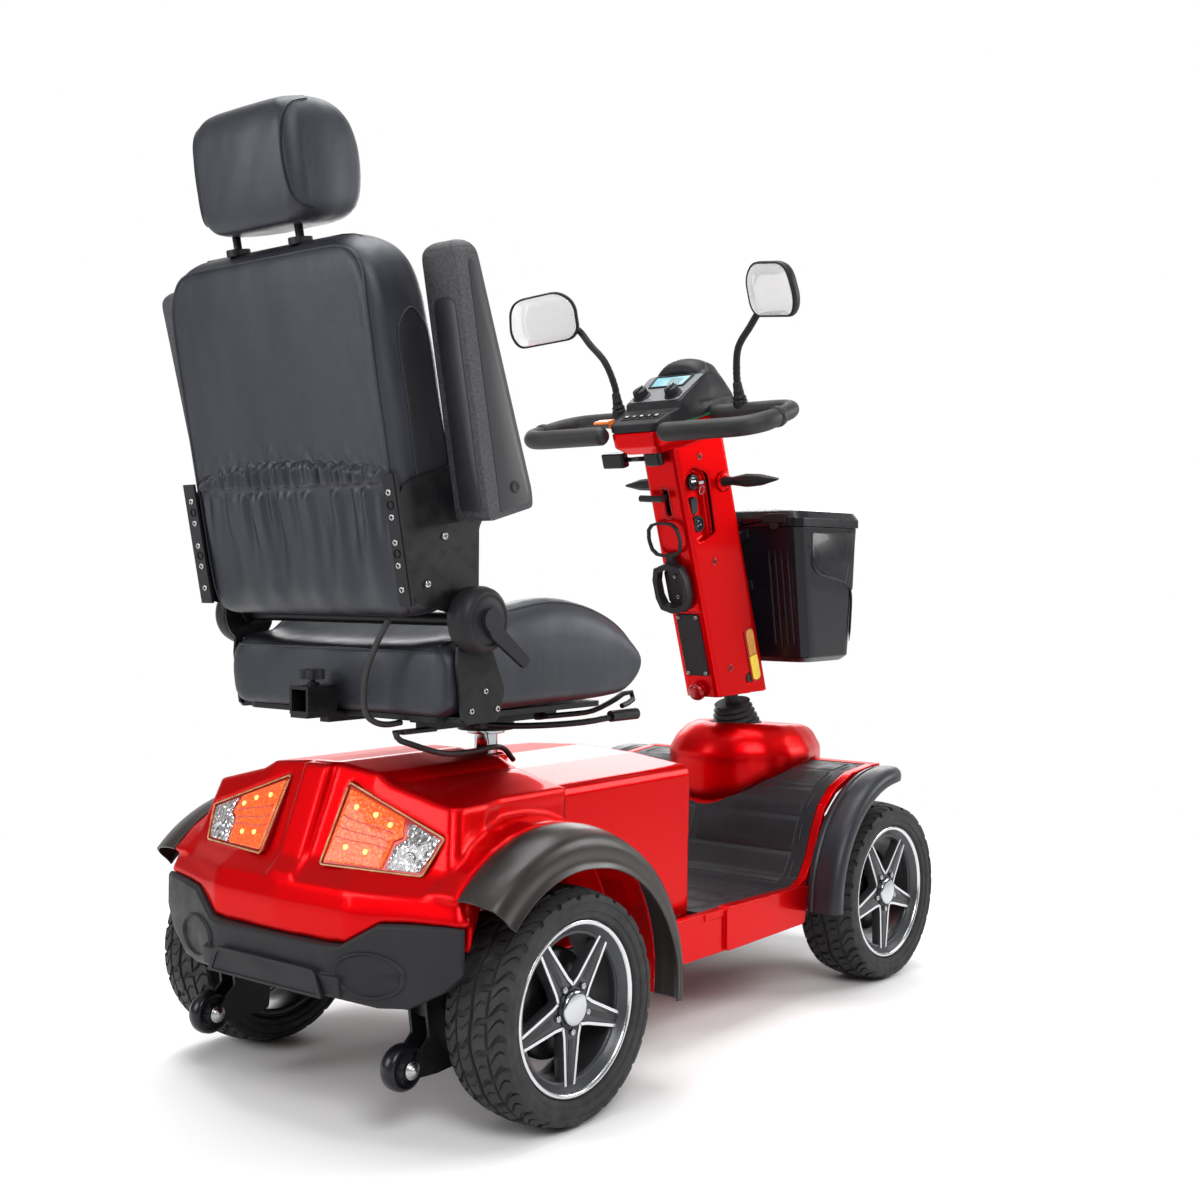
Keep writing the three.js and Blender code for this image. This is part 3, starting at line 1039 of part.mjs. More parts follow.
function mirror(sign) {
  const { x, y, z } = MIRROR_CENTRE;
  const outline = rounded([[-66, -30], [-50, -46], [58, -48], [71, -20], [60, 44], [-40, 48], [-68, 22]], 30, 1);
  const plane = (outline2d, scale, depth) => scaledOutline(outline2d, scale)
    .map(([u, v]) => vector(depth, u, v));
  const head = loft([plane(outline, 1, 0), plane(outline, 1, 8), plane(outline, 0.9, 18),
    plane(outline, 0.6, MIRROR_DEPTH)], outline);
  head.rotateZ(MIRROR_YAW).translate(x, y, z);
  const base = MIRROR_BASE;
  const stalk = bentBar([
    vector(base.x, base.y, base.z + 15), vector(base.x + 3, base.y + 1, base.z + 45),
    vector(base.x + 2, base.y + 14, base.z + 90), vector(x + 26, y - 54, z - 44),
    vector(x + 18, y - 46, z - 30),
  ], STALK_RADIUS, 8, 12);
  const foot = turnedZ([[0, 0], [12, 0], [9, 10], [8, 30], [0, 30]], 14)
    .translate(base.x, base.y, base.z + GAP);
  return flipY(join(head, stalk, foot), sign);
}

function turnSignal(sign) {
  const start = coverHalfAt(20) + GAP;
  const level = [[start, 15, 10], [start + 22, 10, 8], [start + 55, 15, 13], [start + 85, 13, 11], [177, 4, 2]];
  const rings = level.map(([y, halfX, halfZ], i) => circle(1, 10).map(([u, v]) => vector(
    20 + halfX * u, i === 0 ? coverHalfAt(20 + halfX * u) + GAP : y, 413 + halfZ * v)));
  return flipY(loft(rings, circle(1, 10)), sign);
}

// ---------------------------------------------------------------- front box
function frontBoxPlan(level, inset) {
  const { rear, front, half, bottom, rim, taper } = FRONT_BOX;
  const narrow = taper * (rim - level) / (rim - bottom);
  return rounded([[rear + 1.9 * narrow + inset, -half + narrow * 0.4 + inset],
    [front - narrow - inset, -half + narrow * 0.4 + inset],
    [front - narrow - inset, half - narrow * 0.4 - inset],
    [rear + 1.9 * narrow + inset, half - narrow * 0.4 - inset]], 34, 3);
}

function frontBox() {
  const { bottom, rim } = FRONT_BOX;
  const level = (z, inset) => [z, frontBoxPlan(z, inset)];
  const outer = stack([level(bottom, 10), level(bottom + 10, 0), level(rim, 0)]);
  const inner = stack([level(bottom + 5, 16), level(bottom + 16, FRONT_BOX_WALL), level(rim + 5, FRONT_BOX_WALL)]);
  const arms = [[185, 98], [285, 110]].map(([z, end]) => box(COVER_FRONT + GAP, end, -30, 30, z - 9, z + 9)
    .rotateY(-RAKE).translate(TILT_PIVOT.x, 0, TILT_PIVOT.z));
  return cut(join(outer, ...arms), inner);
}

function boxLid() {
  const { rim } = FRONT_BOX;
  const base = frontBoxPlan(rim, 0);
  const skirt = scaledOutline(base, 1.02, 1.025);
  const levels = [[rim + GAP, skirt], [rim + 16, skirt], [rim + 30, scaledOutline(skirt, 0.94)],
    [rim + LID_CROWN, scaledOutline(skirt, 0.72)]];
  const shell = stack(levels);
  const inner = scaledOutline(base, 0.95, 0.96);
  const cavity = stack([[rim - 5, inner], [rim + 13, inner], [rim + 26, scaledOutline(inner, 0.9)],
    [rim + LID_CROWN - 5, scaledOutline(inner, 0.66)]]);
  const latch = box(FRONT_BOX.rear - 8, FRONT_BOX.rear + 2, -18, 18, rim + 2, rim + 14);
  return cut(join(shell, latch), cavity);
}

// ---------------------------------------------------------------- seat
const SEAT_SIDE = [[SEAT_REAR, 580], [SEAT_REAR + 8, SEAT_BOTTOM], [270, SEAT_BOTTOM + 8], [296, 590],
  [SEAT_FRONT, 622], [SEAT_FRONT - 6, 650], [262, 684], [190, 712], [114, 722], [-20, 702],
  [-44, 684], [-60, 672], [SEAT_REAR + 14, 664], [SEAT_REAR, 650]];

function seatCushion() {
  const ring = (y, scale) => [y, scaledOutline(SEAT_SIDE, 1 - (1 - scale) * 0.3, scale)];
  return ribsAlongY([ring(-SEAT_HALF, 0.72), ring(-SEAT_HALF + 8, 0.9), ring(-SEAT_HALF + 30, 1),
    ring(SEAT_HALF - 30, 1), ring(SEAT_HALF - 8, 0.9), ring(SEAT_HALF, 0.72)]);
}

// Side of the pan with its round recliner housing; the housing has bores for the back's shaft and the lever.
function sidePlate(sign) {
  const span = [sign * SIDE_PLATE_INNER, sign * (SIDE_PLATE_INNER + SIDE_PLATE)].sort((a, b) => a - b);
  const { x, z } = RECLINE_PIVOT;
  const outline = rounded([[x - 24, z + 6], [x + 22, z + 8], [x + 34, z - 30], [-20, 600], [-34, 556],
    [-104, 556], [x - 30, z - 60]], 8, 1);
  const plate = slabY(outline, ...span);
  const foot = [sign * 200, sign * (SIDE_PLATE_INNER + SIDE_PLATE)].sort((a, b) => a - b);
  const shelf = box(-100, -36, ...foot, SEAT_BOTTOM - GAP - PAN_THICKNESS, SEAT_BOTTOM - GAP);
  const dial = turned([[0, 0], [DIAL_RADIUS, 0], [DIAL_RADIUS, DIAL_DEPTH - 10],
    [DIAL_RADIUS - 9, DIAL_DEPTH], [0, DIAL_DEPTH]], 24).translate(x, SIDE_PLATE_INNER + 1, z);
  const shaftBore = rod(BACK_SHAFT_RADIUS + RUNNING_GAP, vector(x, SIDE_PLATE_INNER - 5, z),
    vector(x, BACK_SHAFT_END + SLIDE_GAP, z), 16);
  const leverBore = rod(LEVER_STUB + RUNNING_GAP, vector(x, SIDE_PLATE_INNER + DIAL_DEPTH - LEVER_STUB_DEPTH, z),
    vector(x, SIDE_PLATE_INNER + DIAL_DEPTH + 5, z), 12);
  return cut(join(plate, shelf, flipY(dial, sign)), flipY(shaftBore, sign), flipY(leverBore, sign));
}

function seatPan() {
  const top = SEAT_BOTTOM - GAP;
  const low = top - PAN_THICKNESS;
  const tray = slabZ(rounded([[SEAT_REAR + 14, -205], [246, -205], [246, 205], [SEAT_REAR + 14, 205]], 18, 2),
    low, top);
  const channels = SIDES.map(({ sign }) => box(-60, 240, sign * RAIL_GAUGE / 2 - 12,
    sign * RAIL_GAUGE / 2 + 12, low - 10, low + 1));
  const screwX = SEAT_REAR - 32;
  const tongue = box(SEAT_REAR - 58, SEAT_REAR + 40, -18, 18, low, low + 6);
  const socket = box(SEAT_REAR - 58, SEAT_REAR - 4, -20, 20, low + 5, low + 45);
  const socketBore = box(SEAT_REAR - 70, SEAT_REAR - 8, -15.5, 15.5, low + 9.5, low + 40.5);
  const boss = rod(9, vector(screwX, 0, low + 44), vector(screwX, 0, low + 50), 12);
  const screwHole = rod(4 + RUNNING_GAP, vector(screwX, 0, low + 30), vector(screwX, 0, low + 60), 12);
  const ear = box(HANDLE_PIVOT.x - 8, HANDLE_PIVOT.x + 8, -163, -155, HANDLE_PIVOT.z - 5.5, low + 1);
  const earBore = rod(HANDLE_PIN + RUNNING_GAP, vector(HANDLE_PIVOT.x, -170, HANDLE_PIVOT.z),
    vector(HANDLE_PIVOT.x, -150, HANDLE_PIVOT.z), 10);
  return cut(join(tray, ...channels, tongue, socket, boss, ear, sidePlate(1), sidePlate(-1)),
    socketBore, screwHole, earBore);
}

const RAIL_TOP = SEAT_BOTTOM - GAP - PAN_THICKNESS - 10 - GAP;
const RAIL_THICKNESS = 12;

function seatBase() {
  const low = RAIL_TOP - RAIL_THICKNESS;
  const rails = SIDES.map(({ sign }) => box(-50, 240, sign * RAIL_GAUGE / 2 - 10,
    sign * RAIL_GAUGE / 2 + 10, low, RAIL_TOP));
  const bridge = box(POST_X - 70, POST_X + 40, -RAIL_GAUGE / 2, RAIL_GAUGE / 2, low, low + 8);
  const hub = rod(46, vector(POST_X, 0, POST_TOP + GAP), vector(POST_X, 0, low + 4), 24);
  const cableTab = box(-106, -40, CABLE_TAB_Y - 8, -RAIL_GAUGE / 2, low, low + 5);
  const leverBore = rod(SWIVEL_PIN + RUNNING_GAP, vector(SWIVEL_PLACE, -RAIL_GAUGE / 2 - 15, RAIL_TOP - 6),
    vector(SWIVEL_PLACE, -RAIL_GAUGE / 2 + 4, RAIL_TOP - 6), 10);
  return cut(join(...rails, bridge, hub, cableTab), leverBore);
}

function seatPost() {
  const bottom = RAIL_BOTTOM + RAIL_HEIGHT + GAP;
  const top = POST_TOP + SEAT_LIFT;
  const tube = rod(POST_RADIUS, vector(POST_X, 0, bottom), vector(POST_X, 0, top), 20);
  const flange = rod(POST_RADIUS + 12, vector(POST_X, 0, top - 6), vector(POST_X, 0, top), 20);
  return join(tube, flange);
}

// Hand screw in the receiver socket.
function receiverKnob() {
  const lobes = Array.from({ length: 5 }, (_, i) => {
    const angle = 2 * Math.PI * i / 5;
    return slabZ(circle(7, 8, 12 * Math.cos(angle), 12 * Math.sin(angle)), 16, 30);
  });
  const head = slabZ(circle(13, 12), 16, 30);
  const screw = rod(4, vector(0, 0, 0), vector(0, 0, 18), 12);
  return join(screw, head, ...lobes).translate(SEAT_REAR - 32, 0, 596);
}

// Lever that frees the swivel: pin in the base's rail, bent rod and hand grip at the front right.
function swivelLever() {
  const z = RAIL_TOP - 6;
  const face = -RAIL_GAUGE / 2 - 10 - GAP;
  const pin = rod(SWIVEL_PIN, vector(SWIVEL_PLACE, face + 13, z), vector(SWIVEL_PLACE, face - 8, z), 10);
  const root = box(SWIVEL_PLACE - 8, SWIVEL_PLACE + 12, face - 12, face, z - 10, z + 2);
  const bar = bentBar([vector(66, face - 6, z - 5), vector(86, -140, z - 7), vector(120, -178, z - 7),
    vector(200, -206, z - 6), vector(262, -213, z - 2)], 5, 8, 10);
  const grip = rod(9, vector(256, -212, z - 1), vector(312, -220, z), 12);
  return join(pin, root, bar, grip);
}

// Lift bar that frees the slide, hung on a pin under the pan.
function slideHandle() {
  const { x, z } = HANDLE_PIVOT;
  const pin = rod(HANDLE_PIN, vector(x, -150, z), vector(x, -172, z), 10);
  const bar = bentBar([vector(x, -170, z), vector(244, -178, z + 1), vector(264, -181, z + 5),
    vector(300, -186, z + 17), vector(328, -192, z + 29), vector(336, -197, z + 21),
    vector(320, -201, z + 13), vector(296, -203, z + 8)], 4.5, 8, 14);
  return join(pin, bar);
}

function reclineLever() {
  const { x, z } = RECLINE_PIVOT;
  const face = SIDE_PLATE_INNER + 1 + DIAL_DEPTH + GAP;
  const stub = rod(LEVER_STUB, vector(0, face - LEVER_STUB_DEPTH + 4, 0), vector(0, face + 4, 0), 12);
  const hub = rod(17, vector(0, face, 0), vector(0, face + 10, 0), 16);
  const arm = slabY(rounded([[-11, -12], [13, -6], [76, -56], [66, -70], [0, -26]], 6, 2), face + 2, face + 9);
  return flipY(join(stub, hub, arm), -1).translate(x, 0, z);
}

// The reclining frame: side plates, rear flanges, armrest stubs and the cross tube on the pivot line.
function backFrame() {
  const inner = ARMREST_INNER - SLIDE_GAP - SIDE_PLATE;
  const sides = SIDES.flatMap(({ name, sign }) => {
    const span = [sign * inner, sign * (inner + SIDE_PLATE)].sort((a, b) => a - b);
    const plate = slabY(rounded([[-16, -14], [18, -14], [30, 20], [50, 120], [84, 158], [84, 190], [60, 200],
      [20, 214], [-60, 206], [-90, 196], [-90, 42], [-30, 16]], 10, 1), ...span);
    const flange = [sign * STRIP_INNER, sign * (inner + SIDE_PLATE)].sort((a, b) => a - b);
    const strip = box(BACK_REAR - 10, BACK_REAR - 7, ...flange, 36, 216);
    const shaft = rod(BACK_SHAFT_RADIUS, vector(0, sign * inner, 0), vector(0, sign * BACK_SHAFT_END, 0), 16);
    const reach = ARMREST_INNER + ARMREST_STUB + ARMREST_SET[name].out;
    const stub = rod(ARMREST_PIN, vector(ARMREST_PIVOT.x, sign * inner, ARMREST_PIVOT.z),
      vector(ARMREST_PIVOT.x, sign * reach, ARMREST_PIVOT.z), 14);
    return [plate, strip, shaft, stub];
  });
  const tube = rod(10, vector(0, -inner - 2, 0), vector(0, inner + 2, 0), 14);
  return join(...sides, tube);
}

function backrest() {
  const front = BACK_FRONT;
  const plan = (half, rear, face) => rounded([[rear, -half + 8], [rear + 20, -half], [face, -half + 4],
    [face + 4, -half + 60], [face - 12, 0], [face + 4, half - 60], [face, half - 4],
    [rear + 20, half], [rear, half - 8]], 10, 1);
  const levels = [
    [BACK_BOTTOM, plan(BACK_HALF - 26, BACK_REAR + 22, front - 28)],
    [BACK_BOTTOM + 16, plan(BACK_HALF - 6, BACK_REAR + 6, front - 8)],
    [BACK_BOTTOM + 60, plan(BACK_HALF, BACK_REAR, front)],
    [BACK_BOTTOM + 200, plan(BACK_HALF, BACK_REAR, front + 6)],
    [BACK_TOP - 110, plan(BACK_HALF, BACK_REAR, front)],
    [BACK_TOP - 48, plan(BACK_HALF - 10, BACK_REAR, front - 6)],
    [BACK_TOP - 14, plan(BACK_HALF - 34, BACK_REAR + 6, front - 14)],
    [BACK_TOP, plan(BACK_HALF - 66, BACK_REAR + 24, front - 34)],
  ];
  return stack(levels);
}

// Head cushion with its two posts, which slide in the backrest.
function headrest() {
  const middle = (HEADREST_REAR + HEADREST_FRONT) / 2;
  const halfX = (HEADREST_FRONT - HEADREST_REAR) / 2;
  const plan = (scaleX, half) => rounded(rectangle(halfX * scaleX, half, middle), 26, 3);
  const height = HEADREST_TOP - HEADREST_BOTTOM;
  const levels = [[0, 0.62, HEADREST_HALF - 22], [0.09, 0.86, HEADREST_HALF - 6], [0.35, 1, HEADREST_HALF],
    [0.72, 0.95, HEADREST_HALF - 1], [0.93, 0.78, HEADREST_HALF - 8], [1, 0.5, HEADREST_HALF - 24]];
  const body = stack(levels.map(([share, scaleX, half]) => [HEADREST_BOTTOM + share * height, plan(scaleX, half)]));
  return join(body, ...headPosts(HEAD_POST_RADIUS, HEAD_POST_FOOT, HEADREST_BOTTOM + 20));
}

function headPosts(radius, z0, z1) {
  return SIDES.map(({ sign }) => rod(radius, vector(HEAD_POST_X, sign * HEAD_POST_SPACING / 2, z0),
    vector(HEAD_POST_X, sign * HEAD_POST_SPACING / 2, z1), 12));
}

// Folded-up armrest about its own pivot; its pad faces rearward.
function armrest(name, sign) {
  const outline = rounded([[-58, -39], [32, -33], [34, -10], [-16, 322], [-24, 334], [-44, 336], [-58, 326]], 12, 2);
  const { out, lean } = ARMREST_SET[name];
  const y0 = ARMREST_INNER + out;
  const y1 = y0 + ARMREST_WIDTH;
  const body = slabY(outline, y0, y1);
  const round = slabX(rounded([[y0, -60], [y1, -60], [y1, 337], [y0, 337]], 26, 3), -80, 80);
  const bore = rod(ARMREST_PIN + RUNNING_GAP, vector(0, y0 - 5, 0), vector(0, y0 + ARMREST_STUB + SLIDE_GAP, 0), 14);
  return flipY(cut(common(body, round), bore), sign).rotateY(-lean)
    .translate(ARMREST_PIVOT.x, 0, ARMREST_PIVOT.z);
}

// ---------------------------------------------------------------- seat cable
// Lower run: out of the seat box, up to the tab at the back of the swivelling base.
const LOWER_ROUTE = [[182, -75, 469], [156, -80, 489], [110, -98, 497], [60, -112, 497], [-10, -128, 500], [-50, -134, 507],
  [-90, -126, 521],
  [-109, CABLE_TAB_Y, 529], [-115, CABLE_TAB_Y, 540]];
// Upper run: from under the pan, round the receiver, up to the backrest's lower edge.
const UPPER_ROUTE = [[-104, CABLE_TAB_Y, 552.8], [-128, -119, 551.5], [-146, -116, 555], [-160, -113, 565],
  [-166, -112, 585], [-168, -118, 623], [-167, -135, 660], [-165, -151, 687], [-160, -157, 701]];
const cable = (route) => bentBar(route.map((place) => vector(...place)), CABLE_RADIUS, 8, 22);

// ---------------------------------------------------------------- assembly
addWheels();
addAntiTipWheels();
add('chassis_frame', chassisFrame(), BLACK_STEEL);
add('transaxle', transaxle(), BLACK_STEEL);
add('battery_pack', batteryPack(), GREY_PLASTIC);
add('rear_shroud', rearShroud(), CANDY_RED);
add('seat_box', seatBox(), CANDY_RED);
addTailLamps();
add('rear_bumper', rearBumper(), BLACK_PLASTIC);
addRearFenders();
add('floor_pan', floorPan(), CANDY_RED);
add('floor_mat', floorMat(), RUBBER);
add('front_cowl', frontCowl(), CANDY_RED);
addFrontFenders();
for (const { name, sign } of SIDES) add(`knuckle_${name}`, knuckle(sign), BLACK_STEEL);
add('seat_post', seatPost(), STEEL);

const tiller = frameAt(TILT_PIVOT.x, 0, TILT_PIVOT.z, -RAKE);
add('steering_column', steeringColumn(), RUBBER, tiller);
add('tiller_cover', tillerCover(), CANDY_RED, tiller);
add('console_housing', consoleHousing(), BLACK_PLASTIC, tiller);
for (const { name, sign } of SIDES) {
  add(`handlebar_${name}`, handlebarLoop(sign), RUBBER, tiller);
  add(`mirror_${name}`, mirror(sign), BLACK_PLASTIC, tiller);
  add(`turn_signal_${name}`, turnSignal(sign), BLACK_PLASTIC, tiller);
}
add('throttle_lever', throttleLever(), BLACK_PLASTIC, tiller);
add('speed_knob', panelKnob(1), BLACK_PLASTIC, tiller);
add('light_knob', panelKnob(-1), BLACK_PLASTIC, tiller);
add('ignition_key', ignitionKey(), STEEL, tiller);
add('hazard_switch', hazardSwitch(), AMBER, tiller);
add('tilt_lever', tiltLever(), BLACK_PLASTIC, tiller);
add('bag_hook', bagHook(), BLACK_PLASTIC, tiller);

// Frame inside the tiller that cancels its rake, for pieces drawn upright.
const upright = frameAt(-TILT_PIVOT.x * Math.cos(RAKE) - TILT_PIVOT.z * Math.sin(RAKE), 0,
  TILT_PIVOT.x * Math.sin(RAKE) - TILT_PIVOT.z * Math.cos(RAKE), RAKE, tiller);
add('front_box', frontBox(), GLOSS_BLACK, upright);
add('box_lid', boxLid(), GLOSS_BLACK, upright);

const seat = frameAt(0, 0, SEAT_LIFT);
add('seat_base', seatBase(), BLACK_STEEL, seat);
add('swivel_lever', swivelLever(), BLACK_STEEL, seat);
add('seat_pan', seatPan(), BLACK_STEEL, seat);
add('slide_handle', slideHandle(), BLACK_STEEL, seat);
add('receiver_knob', receiverKnob(), BLACK_PLASTIC, seat);
add('recline_lever', reclineLever(), BLACK_PLASTIC, seat);
add('seat_cushion', seatCushion(), LEATHER, seat);
const lowerRoute = LOWER_ROUTE.map(([x, y, z], i) => [x, y, z - SEAT_LIFT * (1 - i / (LOWER_ROUTE.length - 1))]);
add('seat_cable_lower', cable(lowerRoute), RUBBER, seat);
add('seat_cable_upper', cable(UPPER_ROUTE), RUBBER, seat);
const back = frameAt(RECLINE_PIVOT.x, 0, RECLINE_PIVOT.z, -RECLINE, seat);
add('back_frame', backFrame(), BLACK_STEEL, back);
const postBores = headPosts(HEAD_POST_RADIUS + SLIDE_GAP, HEAD_POST_FOOT - 3, BACK_TOP + 10);
add('backrest', cut(backrest(), ...postBores), LEATHER, back);
add('headrest', headrest(), LEATHER, back);
for (const { name, sign } of SIDES) add(`armrest_${name}`, armrest(name, sign), GREY_PLASTIC, back);

const group = scooter;
export default group;
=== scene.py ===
import math
from contextlib import contextmanager

import bmesh
import bpy
import numpy as np
from mathutils import Matrix, Vector
from mathutils.bvhtree import BVHTree


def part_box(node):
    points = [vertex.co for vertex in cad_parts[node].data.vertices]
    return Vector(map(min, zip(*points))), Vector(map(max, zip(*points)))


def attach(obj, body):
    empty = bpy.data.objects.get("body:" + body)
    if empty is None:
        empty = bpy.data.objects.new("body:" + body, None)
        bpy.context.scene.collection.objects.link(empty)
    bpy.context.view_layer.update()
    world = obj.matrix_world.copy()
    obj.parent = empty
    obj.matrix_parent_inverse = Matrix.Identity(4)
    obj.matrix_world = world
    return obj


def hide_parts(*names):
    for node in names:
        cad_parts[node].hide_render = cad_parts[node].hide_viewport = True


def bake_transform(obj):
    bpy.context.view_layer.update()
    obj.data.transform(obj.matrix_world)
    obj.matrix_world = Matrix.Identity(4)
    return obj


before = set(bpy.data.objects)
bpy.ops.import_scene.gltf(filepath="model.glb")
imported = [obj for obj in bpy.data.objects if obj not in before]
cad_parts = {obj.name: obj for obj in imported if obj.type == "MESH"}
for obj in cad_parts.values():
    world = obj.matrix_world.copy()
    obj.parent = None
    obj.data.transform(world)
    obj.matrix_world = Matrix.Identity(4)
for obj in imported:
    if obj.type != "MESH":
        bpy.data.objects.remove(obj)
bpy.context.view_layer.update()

scene = bpy.context.scene
SIDES = (("left", 1), ("right", -1))
WHEEL_RADIUS = 165
FRONT_AXLE = 970
AXLES = (("rear", 0, 313), ("front", FRONT_AXLE, 265))    # end, x of the axle, half track
RAKE, LEAN = 17.3, 10.6                                   # degrees, tiller and backrest
FRAME_FRONT = 1165                                        # drawing x of the frame's front end
DRAW_X = FRAME_FRONT - 1000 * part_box("chassis_frame")[1].x          # and of the row's origin


def shift(x, y, z):
    return Matrix.Translation((x, y, z))


def spin(degrees, axis):
    return Matrix.Rotation(math.radians(degrees), 4, axis)


# frames: drawing millimetres to row metres
TO_ROW = Matrix.Scale(0.001, 4) @ shift(-DRAW_X, 0, 0)
TILLER = TO_ROW @ shift(895, 0, 535) @ spin(-RAKE, "Y")
BACK = TO_ROW @ shift(-85, 0, 700) @ spin(-LEAN, "Y")


# ---------------- lines and outlines
def chords(points, closed):
    """The points, closed where asked, and the distance along them."""
    p = np.asarray(points, float)
    if closed:
        p = np.vstack([p, p[:1]])
    return p, np.r_[0, np.cumsum(np.linalg.norm(np.diff(p, axis=0), axis=1))]


def spline(points, count, closed=False):
    """Catmull-Rom curve through points, evenly spread by chord length."""
    p, chord = chords(points, closed)
    chord = np.maximum.accumulate(chord + np.arange(len(chord)) * 1e-9)
    if closed:
        before, after = p[-2], p[1]
        first, last = chord[-1] - chord[-2], chord[1] - chord[0]
    else:
        before, after = 2 * p[0] - p[1], 2 * p[-1] - p[-2]
        first, last = chord[1] - chord[0], chord[-1] - chord[-2]
    q = np.vstack([before, p, after])
    t = np.r_[-first, chord, chord[-1] + last]
    slope = (q[2:] - q[:-2]) / (t[2:] - t[:-2])[:, None]
    s = np.linspace(0, chord[-1], count, endpoint=not closed)
    i = np.clip(np.searchsorted(chord, s, side="right") - 1, 0, len(chord) - 2)
    h = (chord[i + 1] - chord[i])[:, None]
    u = ((s - chord[i]) / (chord[i + 1] - chord[i]))[:, None]
    return ((2 * u**3 - 3 * u**2 + 1) * p[i] + (u**3 - 2 * u**2 + u) * h * slope[i]
            + (3 * u**2 - 2 * u**3) * p[i + 1] + (u**3 - u**2) * h * slope[i + 1])


def polyline(points, count, closed=False):
    """Points evenly spread along straight segments."""
    p, chord = chords(points, closed)
    s = np.linspace(0, chord[-1], count, endpoint=not closed)
    return np.stack([np.interp(s, chord, p[:, k]) for k in range(p.shape[1])], 1)


def rounded(points, radius, steps=6):
    """Closed outline with rounded corners; radius may be one number or one for each corner."""
    p = [np.asarray(v, float) for v in points]
    radii = radius if hasattr(radius, "__len__") else [radius] * len(p)
    out = []
    for i, corner in enumerate(p):
        a, b = p[i - 1] - corner, p[(i + 1) % len(p)] - corner
        la, lb = np.linalg.norm(a), np.linalg.norm(b)
        cut = min(radii[i], la * 0.49, lb * 0.49)
        start, end = corner + a / la * cut, corner + b / lb * cut
        for t in np.arange(steps + 1) / steps:
            out.append((1 - t) ** 2 * start + 2 * t * (1 - t) * corner + t * t * end)
    return np.array(out)


def polar(r, off, angle):
    """Point at a distance along the ray at an angle, and off it to the side."""
    c, s = math.cos(angle), math.sin(angle)
    return r * c - off * s, r * s + off * c


def around(count):
    return np.linspace(0, 2 * math.pi, count, endpoint=False)


def circle(radius, count, x=0.0, y=0.0):
    return [(x + radius * math.cos(a), y + radius * math.sin(a)) for a in around(count)]


def rect(half_x, half_y, x=0.0, y=0.0):
    return corners(x - half_x, y - half_y, x + half_x, y + half_y)


def corners(x0, y0, x1, y1):
    return [(x0, y0), (x1, y0), (x1, y1), (x0, y1)]


def along(axis, u, v, w):
    """Point given by two places across an axis and one along it."""
    return {"x": (w, u, v), "y": (u, w, v), "z": (u, v, w)}[axis]


# ---------------- mesh helpers
def add(mesh):
    obj = bpy.data.objects.new("piece", mesh)
    scene.collection.objects.link(obj)
    return obj


def new_mesh():
    return bpy.data.meshes.new("piece")


@contextmanager
def editing(obj):
    """The object's mesh as a bmesh, written back at the end."""
    bm = bmesh.new()
    bm.from_mesh(obj.data)
    yield bm
    bm.to_mesh(obj.data)
    bm.free()


def face_out(obj):
    with editing(obj) as bm:
        bmesh.ops.recalc_face_normals(bm, faces=bm.faces[:])
    return obj


def smooth(obj):
    obj.data.polygons.foreach_set("use_smooth", [True] * len(obj.data.polygons))
    obj.data.update()
    return obj


def sharp_by_angle(obj, degrees):
    """Smooth shading, with creases where faces meet at more than the angle."""
    with editing(smooth(obj)) as bm:
        for e in bm.edges:
            if len(e.link_faces) == 2:
                e.smooth = e.calc_face_angle(0) < math.radians(degrees)
    return obj


def paint(obj, finish):
    if finish:
        obj.data.materials.clear()
        obj.data.materials.append(FIN[finish])
    return obj


def move(obj, matrix):
    obj.data.transform(matrix)
    if matrix.determinant() < 0:
        obj.data.flip_normals()
    obj.data.update()
    return obj


def mirrored(obj, sign):
    """Left-hand piece turned to the right-hand side where sign is negative."""
    return move(obj, Matrix.Scale(-1, 4, (0, 1, 0))) if sign < 0 else obj


def modify(obj, kind, **settings):
    modifier = obj.modifiers.new(kind.lower(), kind)
    for key, value in settings.items():
        setattr(modifier, key, value)


def apply_all(obj):
    bpy.context.view_layer.update()
    evaluated = obj.evaluated_get(bpy.context.evaluated_depsgraph_get())
    mesh, old = bpy.data.meshes.new_from_object(evaluated), obj.data
    obj.modifiers.clear()
    obj.data = mesh
    bpy.data.meshes.remove(old)
    return obj


def new_object(verts, faces):
    mesh = new_mesh()
    mesh.from_pydata([tuple(v) for v in verts], [], [tuple(f) for f in faces])
    return smooth(add(mesh))


def grid(rows, finish=None, crease=None, wrap=True, loop=False, caps=True):
    """Surface through equal rows of points; wrap closes each row, loop joins last row to first."""
    rows = np.asarray(rows, float)
    n, m = rows.shape[:2]
    faces = []
    for i in range(n if loop else n - 1):
        a, b = i * m, ((i + 1) % n) * m
        for j in range(m if wrap else m - 1):
            k = (j + 1) % m
            faces.append((a + j, a + k, b + k, b + j))
    if caps and wrap and not loop:
        faces += [range(m)[::-1], range((n - 1) * m, n * m)]
    obj = face_out(new_object(rows.reshape(-1, 3), faces))
    return paint(sharp_by_angle(obj, crease) if crease else obj, finish)


